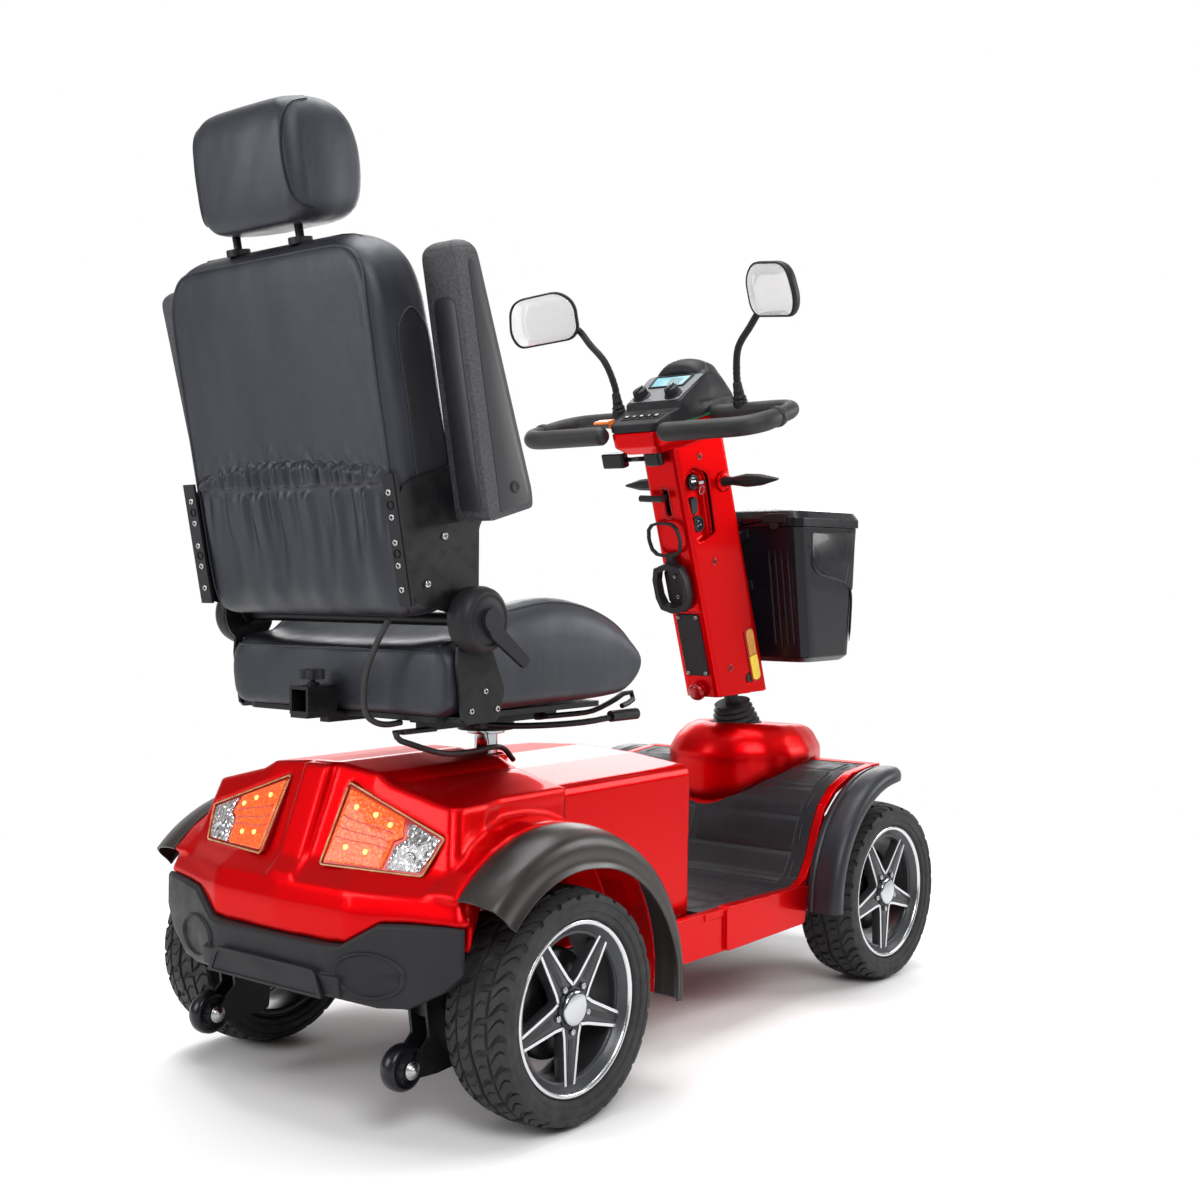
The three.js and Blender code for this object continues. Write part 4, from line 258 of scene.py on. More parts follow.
def slab(outline, low, high, axis, holes=()):
    """Plate: closed outline given in the plane square to axis, from low to high, with holes."""
    bm = bmesh.new()
    edges = []
    for loop in [outline, *holes]:
        ring = [bm.verts.new(along(axis, p[0], p[1], low)) for p in loop]
        edges += [bm.edges.new((ring[i - 1], ring[i])) for i in range(len(ring))]
    bmesh.ops.triangle_fill(bm, use_beauty=True, edges=edges)
    inner = [e for e in bm.edges if len(e.link_faces) == 2]
    bmesh.ops.dissolve_limit(bm, angle_limit=0.001, verts=bm.verts[:], edges=inner)
    made = bmesh.ops.extrude_face_region(bm, geom=bm.faces[:])["geom"]
    moved = [g for g in made if isinstance(g, bmesh.types.BMVert)]
    bmesh.ops.translate(bm, verts=moved, vec=Vector(along(axis, 0, 0, high - low)))
    bmesh.ops.recalc_face_normals(bm, faces=bm.faces[:])
    mesh = new_mesh()
    bm.to_mesh(mesh)
    bm.free()
    return add(mesh)


def soften(obj, width, segments=3):
    """Rounded edges that catch the light."""
    modify(obj, "BEVEL", width=width, segments=segments, limit_method="ANGLE", angle_limit=math.radians(40),
           miter_outer="MITER_ARC")
    modify(obj, "WEIGHTED_NORMAL", keep_sharp=True, weight=60)
    return apply_all(smooth(obj))


def block(finish, outline, low, high, axis, width=0.8, holes=(), segments=3):
    """Plate with softened edges and its finish."""
    return paint(soften(slab(outline, low, high, axis, holes), width, segments), finish)


def turned(finish, profile, steps=24, axis="y", place=(0, 0, 0), flip=False):
    """Solid of revolution from (radius, height) points, turned over along its axis by flip."""
    obj = grid([[along(axis, r * math.cos(a), r * math.sin(a), h) for r, h in profile] for a in around(steps)],
               wrap=False, loop=True)
    with editing(obj) as bm:
        bmesh.ops.remove_doubles(bm, verts=bm.verts[:], dist=1e-4)
        bmesh.ops.recalc_face_normals(bm, faces=bm.faces[:])
    smooth(obj)
    if flip:
        move(obj, Matrix.Scale(-1, 4, along(axis, 0, 0, 1)))
    return paint(move(obj, shift(*place)), finish)


def tube(finish, path, radius, sides=8):
    """Tube along a path; radius is one number or one for each point."""
    p = np.asarray(path, float)
    tangent = np.gradient(p, axis=0)
    tangent /= np.linalg.norm(tangent, axis=1)[:, None]
    radii = radius if hasattr(radius, "__len__") else [radius] * len(p)
    side = np.cross(tangent[0], (0, 0, 1) if abs(tangent[0][2]) < 0.9 else (1, 0, 0))
    a = around(sides)[:, None]
    rows = []
    for point, t, r in zip(p, tangent, radii):
        side = side - t * np.dot(side, t)
        side /= np.linalg.norm(side)
        rows.append(point + r * (np.cos(a) * side + np.sin(a) * np.cross(t, side)))
    return grid(rows, finish)


def rod(finish, start, end, radius, sides=24):
    return tube(finish, [start, (np.array(start) + np.array(end)) / 2, end], radius, sides)


def tapered(radius, count, least, run):
    """Radii for a tube that thins towards both ends over a run of points."""
    return [radius * min(1, least + min(i, count - 1 - i) / run) for i in range(count)]


def merge(objects):
    """One object out of several; they keep their own materials."""
    mesh, bm, slots = new_mesh(), bmesh.new(), []
    for obj in objects:
        for m in obj.data.materials:
            if m not in slots:
                slots.append(m)
        lookup = np.array([slots.index(m) for m in obj.data.materials], np.int32)
        index = np.zeros(len(obj.data.polygons), np.int32)
        obj.data.polygons.foreach_get("material_index", index)
        obj.data.polygons.foreach_set("material_index", lookup[index])
        bm.from_mesh(obj.data)
        bpy.data.objects.remove(obj)
    bm.to_mesh(mesh)
    bm.free()
    for m in slots:
        mesh.materials.append(m)
    return add(mesh)


def put(name, parts, body, replaces=None, place=TO_ROW, sign=1):
    """Joins parts into one piece, puts it in its frame and on its body, and hides the CAD node that it replaces."""
    obj = merge(parts) if isinstance(parts, list) else parts
    obj.name = obj.data.name = name
    move(mirrored(obj, sign), place)
    if body:
        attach(obj, body)
    if replaces:
        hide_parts(replaces)
    return obj


# ---------------- materials
class Graph:
    """Shorthand for a node tree; textures lie in the object's own space."""

    def __init__(self, owner, space="Object"):
        owner.use_nodes = True
        self.tree = owner.node_tree
        self.place = self.node("TexCoord").outputs[space]

    def feed(self, node, inputs):
        """Sets a node's inputs, each to a value or to another node's output."""
        for key, value in inputs.items():
            if isinstance(value, bpy.types.NodeSocket):
                self.tree.links.new(value, node.inputs[key])
            else:
                node.inputs[key].default_value = value
        return node

    def node(self, kind, inputs=None, **values):
        made = self.tree.nodes.new("ShaderNode" + kind)
        for key, value in values.items():
            setattr(made, key, value)
        return self.feed(made, inputs or {})

    def math(self, operation, a, b):
        return self.node("Math", {0: a, 1: b}, operation=operation).outputs[0]

    def band(self, value, low, high, to_low=0.0, to_high=1.0, kind="LINEAR"):
        limits = {"Value": value, "From Min": low, "From Max": high, "To Min": to_low, "To Max": to_high}
        return self.node("MapRange", limits, interpolation_type=kind).outputs["Result"]

    def noise(self, scale, detail=3, rough=0.5, stretch=None):
        place = self.place
        if stretch:
            place = self.node("Mapping", {"Vector": place, "Scale": stretch}).outputs["Vector"]
        return self.node("TexNoise", {"Scale": scale, "Detail": detail, "Roughness": rough,
                                      "Vector": place}).outputs["Fac"]

    def cells(self, scale, feature="F1"):
        return self.node("TexVoronoi", {"Scale": scale, "Vector": self.place}, feature=feature).outputs["Distance"]

    def edges(self, scale):
        return self.cells(scale, "DISTANCE_TO_EDGE")

    def creases(self, scale):
        return self.band(self.edges(scale), 0.0, 0.25)

    def texture(self, kind, *values):
        return getattr(self, kind)(*values)


FIN = {}


def finish(key, name, colour, rough, metal=0.0, vary=None, gloss=None, bumps=(), edge=None, **sockets):
    """Procedural material on one shader.

    vary: texture, second colour and the two shares of the texture between which it comes in.
    gloss: texture and the roughness at its low and high end. bumps: texture, strength, distance.
    edge: radius over which neighbouring faces are shaded as one rounded surface.
    """
    material = bpy.data.materials.new(name)
    graph = Graph(material)
    shader = graph.tree.nodes["Principled BSDF"]
    normal = None
    graph.feed(shader, {"Base Color": (*colour, 1), "Roughness": rough, "Metallic": metal})
    graph.feed(shader, {socket.replace("_", " "): value for socket, value in sockets.items()})
    if edge:
        normal = graph.node("Bevel", {"Radius": edge}, samples=8).outputs["Normal"]
        graph.feed(shader, {"Normal": normal, "Coat Normal": normal})
    if vary:
        texture, other, low, high = (*vary, 0.3, 0.7)[:4]
        share = graph.band(graph.texture(*texture), low, high)
        mixed = graph.node("Mix", {0: share, 6: (*colour, 1), 7: (*other, 1)}, data_type="RGBA")
        graph.feed(shader, {"Base Color": mixed.outputs[2]})
    if gloss:
        graph.feed(shader, {"Roughness": graph.band(graph.texture(*gloss[0]), 0.3, 0.7, *gloss[1:])})
    for texture, strength, distance in bumps:
        relief = graph.node("Bump", {"Strength": strength, "Distance": distance, "Height": graph.texture(*texture)})
        if normal is not None:
            graph.feed(relief, {"Normal": normal})
        normal = relief.outputs["Normal"]
        graph.feed(shader, {"Normal": normal})
    FIN[key] = material
    return graph


for key, name, radius in (("red", "candy_red", 0.003), ("red_body", "candy_red_body", 0.012),
                          ("red_cowl", "candy_red_cowl", 0.03)):
    finish(key, name, (0.5, 0.0002, 0.0012), 0.36, 0.72, (("cells", 1400), (0.68, 0.0004, 0.003), 0.1, 0.7),
           (("noise", 900, 2), 0.3, 0.44), [(("noise", 6, 1), 0.02, 0.002)], radius, Coat_Weight=0.5, Coat_IOR=1.25,
           Coat_Roughness=0.05, Specular_IOR_Level=0.1, Specular_Tint=(1, 0.12, 0.12, 1))
finish("red_dark", "red_lip", (0.36, 0.001, 0.004), 0.35, 0.4, bumps=[(("noise", 40, 2), 0.02, 0.001)],
       Coat_Weight=0.4, Coat_Roughness=0.06)
finish("black", "trim_black", (0.010, 0.010, 0.012), 0.5, 0, (("noise", 7, 4), (0.017, 0.017, 0.02)),
       (("noise", 30, 4), 0.42, 0.56), [(("noise", 1500, 2, 0.6), 0.25, 0.0003)], Specular_IOR_Level=0.25)
finish("slate", "fender_slate", (0.011, 0.012, 0.016), 0.42, 0, (("noise", 5, 4), (0.018, 0.02, 0.026)),
       (("noise", 20, 4), 0.36, 0.5), [(("noise", 1800, 2, 0.6), 0.2, 0.0002)], Specular_IOR_Level=0.4)
finish("umber", "fender_umber", (0.015, 0.011, 0.010), 0.33, 0, (("noise", 5, 4), (0.024, 0.018, 0.016)),
       (("noise", 20, 4), 0.3, 0.42), [(("noise", 1800, 2, 0.6), 0.15, 0.0002)])
finish("gloss", "box_gloss", (0.0035, 0.0035, 0.006), 0.26, 0, (("noise", 8, 3), (0.006, 0.006, 0.009)),
       (("noise", 60, 4), 0.26, 0.34), [(("noise", 30, 2), 0.03, 0.001)], Coat_Weight=0.12, Coat_Roughness=0.05,
       Specular_IOR_Level=0.28)
# leather: the lighter, vertically stretched streaks mixed into its colour are painted sheen along its folds
finish("leather", "leather", (0.006, 0.0065, 0.010), 0.36, 0,
       (("noise", 7, 5, 0.6, (1, 1, 0.3)), (0.021, 0.021, 0.027)), (("noise", 16, 4, 0.6, (1, 1, 0.4)), 0.32, 0.5),
       [(("noise", 9, 3, 0.5, (1, 1, 0.35)), 0.35, 0.008), (("noise", 28, 5), 0.3, 0.0018),
        (("creases", 620), 0.35, 0.0003)], Specular_IOR_Level=0.55, Specular_Tint=(0.84, 0.9, 1.0, 1))
finish("leather_dark", "leather_side", (0.008, 0.008, 0.010), 0.6, 0, (("noise", 14, 4), (0.013, 0.013, 0.016)),
       bumps=[(("cells", 900), 0.3, 0.0003)], Specular_IOR_Level=0.3)
finish("grain", "arm_grain", (0.022, 0.022, 0.025), 0.6, 0, (("noise", 300, 4), (0.07, 0.07, 0.076)),
       bumps=[(("noise", 900, 4, 0.7), 0.7, 0.0008)])
finish("arm_smooth", "arm_smooth", (0.016, 0.017, 0.019), 0.42, 0, (("noise", 10), (0.022, 0.023, 0.026)),
       bumps=[(("noise", 700, 2), 0.12, 0.0002)])
finish("tyre", "tyre_rubber", (0.010, 0.010, 0.011), 0.66, 0, (("noise", 12, 5), (0.022, 0.022, 0.023)),
       (("noise", 60, 4), 0.62, 0.85), [(("noise", 700), 0.2, 0.0004)])
finish("rubber", "grip_rubber", (0.010, 0.010, 0.011), 0.55, 0, (("noise", 20, 4), (0.018, 0.018, 0.02)),
       bumps=[(("noise", 1200), 0.3, 0.0003)])
finish("mat", "mat_rubber", (0.008, 0.0085, 0.011), 0.5, 0, (("noise", 8, 5), (0.015, 0.016, 0.02)),
       (("noise", 40, 4), 0.45, 0.65), [(("noise", 900), 0.3, 0.0003)], Specular_IOR_Level=0.35)
finish("steel", "frame_black", (0.004, 0.004, 0.005), 0.32, 0, (("noise", 40), (0.008, 0.008, 0.009)),
       (("noise", 80, 4), 0.28, 0.45), [(("noise", 500), 0.15, 0.0003)], Specular_IOR_Level=0.3)
finish("chrome", "chrome", (0.5, 0.52, 0.54), 0.12, 1, gloss=(("noise", 90), 0.05, 0.12))
finish("chrome_dark", "post_chrome", (0.25, 0.25, 0.26), 0.15, 1, gloss=(("noise", 90), 0.1, 0.25))
finish("machined", "machined_alloy", (0.6, 0.61, 0.63), 0.26, 1,
       gloss=(("noise", 160, 4, 0.5, (1, 1, 12)), 0.16, 0.3))
finish("wheel", "wheel_black", (0.012, 0.012, 0.014), 0.3, 0.3, gloss=(("noise", 60, 4), 0.24, 0.4),
       bumps=[(("noise", 800, 2), 0.08, 0.0002)])
finish("wheel_face", "wheel_face", (0.05, 0.052, 0.056), 0.34, 0.4, gloss=(("noise", 60, 4), 0.28, 0.42),
       bumps=[(("noise", 900, 2), 0.08, 0.0002)])
finish("screw", "zinc_screw", (0.45, 0.45, 0.46), 0.3, 1, gloss=(("noise", 400), 0.22, 0.4))
# mirror glass: its light grey, mostly diffuse colour is a painted reflection of the white studio
finish("mirror", "mirror_painted_reflection", (0.88, 0.88, 0.89), 0.12, 0.2, gloss=(("noise", 10, 2), 0.05, 0.1))
finish("amber", "lamp_amber", (0.62, 0.045, 0.001), 0.35, 0, (("edges", 150), (0.9, 0.2, 0.012), 0.05, 0.45),
       bumps=[(("cells", 160), 0.7, 0.002)], Coat_Weight=0.3, Coat_Roughness=0.05,
       Emission_Color=(1.0, 0.16, 0.004, 1), Emission_Strength=0.28)
finish("lamp_red", "lamp_red", (0.55, 0.004, 0.004), 0.14, 0, (("edges", 220), (0.9, 0.03, 0.01), 0.05, 0.5),
       bumps=[(("cells", 220), 0.5, 0.0015)], Coat_Weight=1.0, Coat_Roughness=0.02)
finish("clear", "lamp_reflector", (0.78, 0.78, 0.8), 0.1, 0.85, (("edges", 110), (0.35, 0.33, 0.34), 0.0, 0.35),
       bumps=[(("cells", 115), 0.9, 0.004)], Coat_Weight=1.0)
finish("bulb", "lamp_bulb", (1.0, 0.75, 0.25), 0.2, 0, (("noise", 200, 2), (1.0, 0.45, 0.1)),
       Emission_Color=(1.0, 0.62, 0.18, 1), Emission_Strength=1.1)
finish("lens_edge", "lamp_edge", (0.35, 0.12, 0.03), 0.25, 0, (("noise", 60, 2), (0.5, 0.3, 0.12)), Coat_Weight=0.5)
finish("display", "display", (0.06, 0.25, 0.33), 0.3, 0, (("noise", 14, 1), (0.3, 0.55, 0.62), 0.35, 0.65),
       Coat_Weight=0.3, Coat_Roughness=0.05, Emission_Color=(0.35, 0.65, 0.72, 1), Emission_Strength=0.16)
finish("panel_grey", "panel_grey", (0.16, 0.165, 0.175), 0.35, 0, (("noise", 30), (0.20, 0.205, 0.215)),
       (("noise", 90), 0.3, 0.42))
finish("yellow", "reflector_yellow", (0.9, 0.62, 0.0), 0.25, 0, (("noise", 40, 2), (0.95, 0.72, 0.02)),
       bumps=[(("cells", 420), 0.4, 0.0008)], Coat_Weight=0.8)
finish("amber_dark", "reflector_amber", (0.42, 0.16, 0.004), 0.22, 0, (("cells", 300), (0.62, 0.25, 0.01), 0.1, 0.6),
       bumps=[(("cells", 420), 0.5, 0.0008)], Coat_Weight=0.8)
finish("green", "tray_green", (0.0, 0.09, 0.035), 0.4, 0, (("noise", 30), (0.0, 0.14, 0.05)))
finish("ink", "white_mark", (0.62, 0.62, 0.6), 0.5, 0, (("noise", 200, 2), (0.7, 0.7, 0.68)))


# ---------------- camera
def at(x, y, z):
    return TO_ROW @ Vector((x, y, z))


def aim(obj, direction):
    obj.rotation_euler = direction.to_track_quat("-Z", "Y").to_euler()
    scene.collection.objects.link(obj)


camera = bpy.data.objects.new("camera", bpy.data.cameras.new("camera"))
camera.data.lens = 46.6
camera.data.sensor_width = 36
camera.location = at(-1629, -1723, 768)
yaw, pitch = math.radians(39.1), math.radians(-1.1)
aim(camera, Vector((math.cos(yaw) * math.cos(pitch), math.sin(yaw) * math.cos(pitch), math.sin(pitch))))
scene.camera = camera

# ---------------- cords: the seat cable's two runs
CABLE_RADIUS = 4.4
TAB_Y = -121
LOWER_ROUTE = [(182, -75, 469), (156, -80, 489), (110, -98, 497), (60, -112, 497), (-10, -128, 500),
               (-50, -134, 507), (-90, -126, 521), (-109, TAB_Y, 529), (-115, TAB_Y, 540)]
UPPER_ROUTE = [(-104, TAB_Y, 552.8), (-128, -119, 551.5), (-146, -116, 555), (-160, -113, 565), (-166, -112, 585),
               (-168, -118, 623), (-167, -135, 660), (-165, -151, 687), (-160, -157, 701)]
for node, route, pair, bend in (("seat_cable_lower", LOWER_ROUTE, ("chassis", "swivel"), (1, -2)),
                                ("seat_cable_upper", UPPER_ROUTE, ("seat", "back"), (4, -1))):
    path = spline(route, 40)
    cable = put("visible_" + node, tube("rubber", path, CABLE_RADIUS, 12), None, node)
    line = [tuple(at(*p)) for p in path]
    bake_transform(cable)

# ---------------- materials on the CAD nodes
KEEP = {                                                  # nodes without a visible piece in their place
    "red_body": "rear_shroud",
    "red_cowl": "front_cowl",
    "red": "seat_box floor_pan tiller_cover",
    "black": "rear_bumper console_housing turn_signal_left turn_signal_right bag_hook tilt_lever receiver_knob "
             "recline_lever battery_pack",
    "mat": "floor_mat",
    "rubber": "steering_column",
    "steel": "chassis_frame transaxle knuckle_left knuckle_right seat_base seat_pan back_frame swivel_lever "
             "slide_handle",
    "chrome": "seat_post ignition_key",
    "gloss": "front_box box_lid",
}
for key, names in KEEP.items():
    for name in names.split():
        paint(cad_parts[name], key)

# ---------------- softened edges on the CAD nodes
ROUND = {"rear_shroud": (2.6, 10), "seat_box": (2.6, 4), "front_cowl": (2.6, 14), "console_housing": (2.0, 18),
         "tiller_cover": (2.0, 2)}                        # voxel in mm, smoothing passes
EDGE = {                                                  # bevel in mm
    5: "front_box box_lid",
    3: "floor_pan battery_pack",
    2.5: "rear_bumper",
    2: "chassis_frame recline_lever transaxle",
    1.5: "turn_signal_left turn_signal_right steering_column",
    1.2: "bag_hook",
    1: "seat_pan back_frame seat_base swivel_lever receiver_knob knuckle_left knuckle_right floor_mat seat_post",
    0.8: "tilt_lever",
    0.6: "slide_handle hazard_switch",
}
for name, (voxel, passes) in ROUND.items():
    node = smooth(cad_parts[name])
    modify(node, "REMESH", mode="VOXEL", voxel_size=voxel / 1000, use_smooth_shade=True)
    modify(node, "SMOOTH", factor=0.5, iterations=passes)
for width, names in EDGE.items():
    for name in names.split():
        node = smooth(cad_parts[name])
        modify(node, "WELD", merge_threshold=0.00002)
        modify(node, "DECIMATE", decimate_type="DISSOLVE", angle_limit=math.radians(0.6))
        modify(node, "BEVEL", width=width / 1000, segments=3, limit_method="ANGLE", angle_limit=math.radians(28),
               use_clamp_overlap=True, miter_outer="MITER_ARC")
        modify(node, "WEIGHTED_NORMAL", keep_sharp=False, weight=70)

# ---------------- wheels
PITCHES = 24
COLUMNS = [0, 0.035, 0.20, 0.235, 0.42, 0.50, 0.52, 0.59, 0.61, 0.80]        # of one pitch, as shares
TREAD_HALF = 53
TREAD_EDGE = 148                                                              # radius where the tread ends
SPOKES = 5


def tread_cut(across, column):
    """Depth of the tread's grooves at a distance from its middle, in one column of a pitch."""
    cut = 4.6 if across < 2.7 else 3.6 if 25 < across < 29 else 0.0
    if column in (1, 2) and across > 7:
        cut = max(cut, 4.8 if across > 12 else 3.0) if across < 54 else 2.0
    if column in (6, 7) and 30 < across < 52:
        cut = max(cut, 3.6)
    if column in (6, 7) and 7 < across < 20:
        cut = max(cut, 2.4)
    return cut


def tyre():
    """Tyre whose mesh lines follow the tread's curved grooves."""
    half = [(y, WHEEL_RADIUS - 8.2 * (y / TREAD_HALF) ** 2.2)
            for y in (0, 2.6, 3.6, 8, 13, 19, 24.4, 25.4, 28.6, 29.6, 34, 39, 44, 48, 51, TREAD_HALF)]
    wall = [(54.6, 154.4), (55.5, 151), (55.4, 147.6), (54.2, 146.6), (54.6, 144), (55.4, 139), (54.4, 134.4),
            (52.6, 133.2), (52.6, 130), (51.8, 126.4), (49.4, 124.2), (46.2, 123.4), (44.6, 121), (44, 118)]
    side = half[1:] + wall
    rows = []
    for k in range(PITCHES * len(COLUMNS)):
        pitch, column = divmod(k, len(COLUMNS))
        row = []
        for y, r in [(-y, r) for y, r in side[::-1]] + [half[0]] + side:
            lean = 0.24 * math.sin(y / 55 * math.pi / 2) + 0.035 * math.sin(y / 55 * 3 * math.pi)
            a = 2 * math.pi * (pitch + COLUMNS[column]) / PITCHES + lean
            x, z = polar(r - (tread_cut(abs(y), column) if r > TREAD_EDGE else 0), 0, a)
            row.append((x, y + 2.4 * math.sin(a * PITCHES / 2) * max(0, 1 - abs(y) / 20), z))
        rows.append(row)
    return grid(rows, "tyre", 32, wrap=False, loop=True)


def ribbon(finish, path, width, low, high):
    """Flat raised strip in the wheel's plane."""
    p = np.asarray(path, float)
    d = np.gradient(p, axis=0)
    d /= np.linalg.norm(d, axis=1)[:, None]
    n = np.stack([-d[:, 1], d[:, 0]], 1) * width / 2
    return paint(slab(list(p + n) + list((p - n)[::-1]), low, high, "y"), finish)


def wheel_face():
    """Rim about its own middle, with its outer side towards +y."""
    windows, fittings = [], []
    half_turn = math.pi / SPOKES
    for k in range(SPOKES):
        a = math.radians(-21) + 2 * half_turn * k
        b = a + 2 * half_turn
        arc = [polar(101.5, 0, a + math.radians(t)) for t in np.linspace(7.4, 64.6, 15)[1:-1]]
        windows.append(rounded([polar(100, 12, a), *arc, polar(100, -12, b), polar(40, -17.5, b),
                                polar(34, 0, a + half_turn), polar(40, 17.5, a)], [2] + [0.1] * 13 + [2, 4, 3, 4], 3))
        for edge in (1, -1):
            path = [polar(116, edge * 8.2, a), polar(40, edge * 15.2, a), polar(31.62, 0, a + edge * half_turn)]
            fittings.append(ribbon("machined", polyline(path, 14), 4.2, 35.4, 37.4))
        x, z = polar(33.5, 0, a)
        fittings.append(turned("screw", [(0, 41.5), (3.6, 41.5), (4.6, 40.6), (4.6, 36), (0, 36)], 12, "y", (x, 0, z)))
        fittings.append(ribbon("wheel", [polar(r, 0, a) for r in (44, 60, 80, 108)], 9, 33.4, 36.6))
    return merge([
        turned("wheel_face", [
            (112, -46), (121.7, -46), (121.7, -43), (117.4, -42.8), (115, -30), (108, -20), (108, 20), (112, 33),
            (115.5, 42.8), (121.7, 43), (121.7, 46), (119.5, 46.8), (116.5, 45.5), (114.5, 44), (112.5, 40.5),
            (101, 34), (100, 28), (104, 22), (104, -20), (110, -40), (112, -46)], 96),
        turned("machined", [(114.4, 44.4), (115.6, 47.6), (119.6, 48.2), (121.5, 47.4), (121.7, 46.2), (118, 44)], 120),
        block("wheel_face", circle(112, 96), 20, 36, "y", 1.6, windows, 2),
        *fittings,
        turned("wheel", [(0, 8), (27, 8), (28, 30), (30, 38), (28.5, 39.5), (26, 39.8), (25, 38), (0, 38)], 48),
        turned("chrome", [(24.2, 38), (24.6, 43.2), (23, 44.6), (20, 45.4), (11, 46.6), (0, 47)], 48),
        turned("wheel", [(20, 4), (74, 4), (78, -2), (78, -30), (20, -30), (20, 4)], 64)])


for side, sign in SIDES:
    for end, x, track in AXLES:
        wheel = f"{end}_{side}"
        place = TO_ROW @ shift(x, sign * track, WHEEL_RADIUS)
        put(f"visible_{wheel}_tyre", tyre(), wheel + "_wheel", wheel + "_tyre", place)
        put(f"visible_{wheel}_rim", wheel_face(), wheel + "_wheel", wheel + "_rim", place, sign)


# ---------------- fenders
def fender(finish, section_at, centre_x, angles, thickness, crease):
    """Shell swept round a wheel; section_at gives (y, radius) points for a share of the sweep."""
    rows = []
    for share, a in zip(np.linspace(0, 1, len(angles)), np.radians(angles)):
        rows.append([(centre_x + r * math.cos(a), y, WHEEL_RADIUS + r * math.sin(a)) for y, r in section_at(share)])
    obj = grid(rows, finish, wrap=False)
    modify(obj, "SOLIDIFY", thickness=thickness, offset=1)
    return sharp_by_angle(face_out(apply_all(obj)), crease)


def rear_section(share):
    """share 0 is the front foot, 1 the rear tip."""
    fold = 6 + 24 * min(1, max(0, (share - 0.12) / 0.5)) ** 0.8
    tail = 1 if share > 0.14 else 0.55 + 0.45 * share / 0.14
    top = spline([(306.4, 246), (322, 247.5), (344, 243), (362 - tail, 233.5 + 2 * tail)], 12)
    fall = spline([(362, 235.5), (367.5, 231 - fold * 0.35), (366, 228 - fold * 0.8), (370.5, 222 - fold)], 9)
    return [*top, *fall[1:]]


def front_section(share):
    """share 0 is the front tip over the wheel, 1 the foot behind it."""
    inner, tip = 272.6, min(1, share / 0.16)
    outer = 300 + 31 * math.sqrt(max(0, 1 - (1 - tip) ** 2))
    crown = [(0.16, 229.5), (0.2, 226.2), (0.3, 229.6), (0.6, 230), (0.84, 228.5)]
    return spline([(inner, 204), (inner, 215), (inner, 225), *((inner + k * (outer - inner), r) for k, r in crown),
                   (outer - 1.5, 223), (outer, 215), (outer - 1, 209)], 30)


for side, sign in SIDES:
    arch = fender("umber", rear_section, 0, np.linspace(-9, 136.6, 72), 3.4, 38)
    modify(arch, "BEVEL", width=1.0, segments=2, limit_method="ANGLE", angle_limit=math.radians(50))
    put(f"visible_rear_fender_{side}", apply_all(arch), "chassis", f"rear_fender_{side}", sign=sign)
for side, sign in SIDES:
    arch = fender("slate", front_section, FRONT_AXLE, np.linspace(80.5, 181, 56), 3.6, 40)
    put(f"visible_front_fender_{side}", arch, "chassis", f"front_fender_{side}", sign=sign)


# ---------------- padded seat goods
def wave(t, seed, count=5, low=0.6, high=1.9):
    """Irregular ripple around -1..1, the same on each run."""
    pick = np.random.RandomState(seed)
    total = sum(pick.uniform(0.5, 1) * np.sin(t * pick.uniform(low, high) + pick.uniform(0, 6.3))
                for _ in range(count))
    return total / (0.55 * count)


def step(t, low, high):
    s = np.clip((np.asarray(t, float) - low) / (high - low), 0, 1)
    return s * s * (3 - 2 * s)


def ease(stations, z):
    """Smooth values at z from a table of rows (z, value, ...)."""
    fine = spline(stations, 400)
    return [np.interp(z, fine[:, 0], fine[:, k]) for k in range(1, fine.shape[1])]


def plan_loop(rear, front, half, r_rear, r_front, counts, crown, dish):
    """Closed plan outline with the same number of points whatever its size."""
    n_rear, n_corner, n_side, n_front = counts
    y = np.linspace(half - r_rear, r_rear - half, n_rear)
    rear_face = np.stack([rear - crown * (1 - (y / half) ** 2), y], 1)
    a = np.linspace(0, math.pi / 2, n_corner + 2)[1:-1]
    start = rear_face[-1, 0]
    corner = np.stack([start + r_rear * (1 - np.cos(a)), r_rear - half - r_rear * np.sin(a)], 1)
    x = np.linspace(start + r_rear, front - r_front, n_side)
    side = np.stack([x, np.full(n_side, -half) - 2.5 * np.sin(np.linspace(0, math.pi, n_side))], 1)
    corner_b = np.stack([front - r_front + r_front * np.sin(a), -half + r_front * (1 - np.cos(a))], 1)
    y = np.linspace(r_front - half, half - r_front, n_front)
    swell = dish * np.cos(y / half * math.pi * 1.15)
    front_face = np.stack([front - swell * step(half - np.abs(y), r_front, r_front + 40), y], 1)
    right = [corner, side, corner_b]
    left = [np.stack([p[::-1, 0], -p[::-1, 1]], 1) for p in right][::-1]
    return np.vstack([rear_face, *right, front_face, *left])


def lay_on(obj, points, direction, lift=0.0):
    """Points pushed along a direction until they meet the object; those that miss are left out."""
    tree = BVHTree.FromObject(obj, bpy.context.evaluated_depsgraph_get())
    d = Vector(direction)
    found = []
    for p in points:
        hit, normal, _, _ = tree.ray_cast(Vector(p) - d * 300, d)
        if hit is not None:
            found.append(tuple(hit + normal * lift))
    return found


def piping(obj, points, direction, radius, lift, count, sides=8, closed=False):
    return tube("leather", spline(lay_on(obj, points, direction, lift), count, closed), radius, sides)


FORWARD, DOWN = (1, 0, 0), (0, 0, -1)

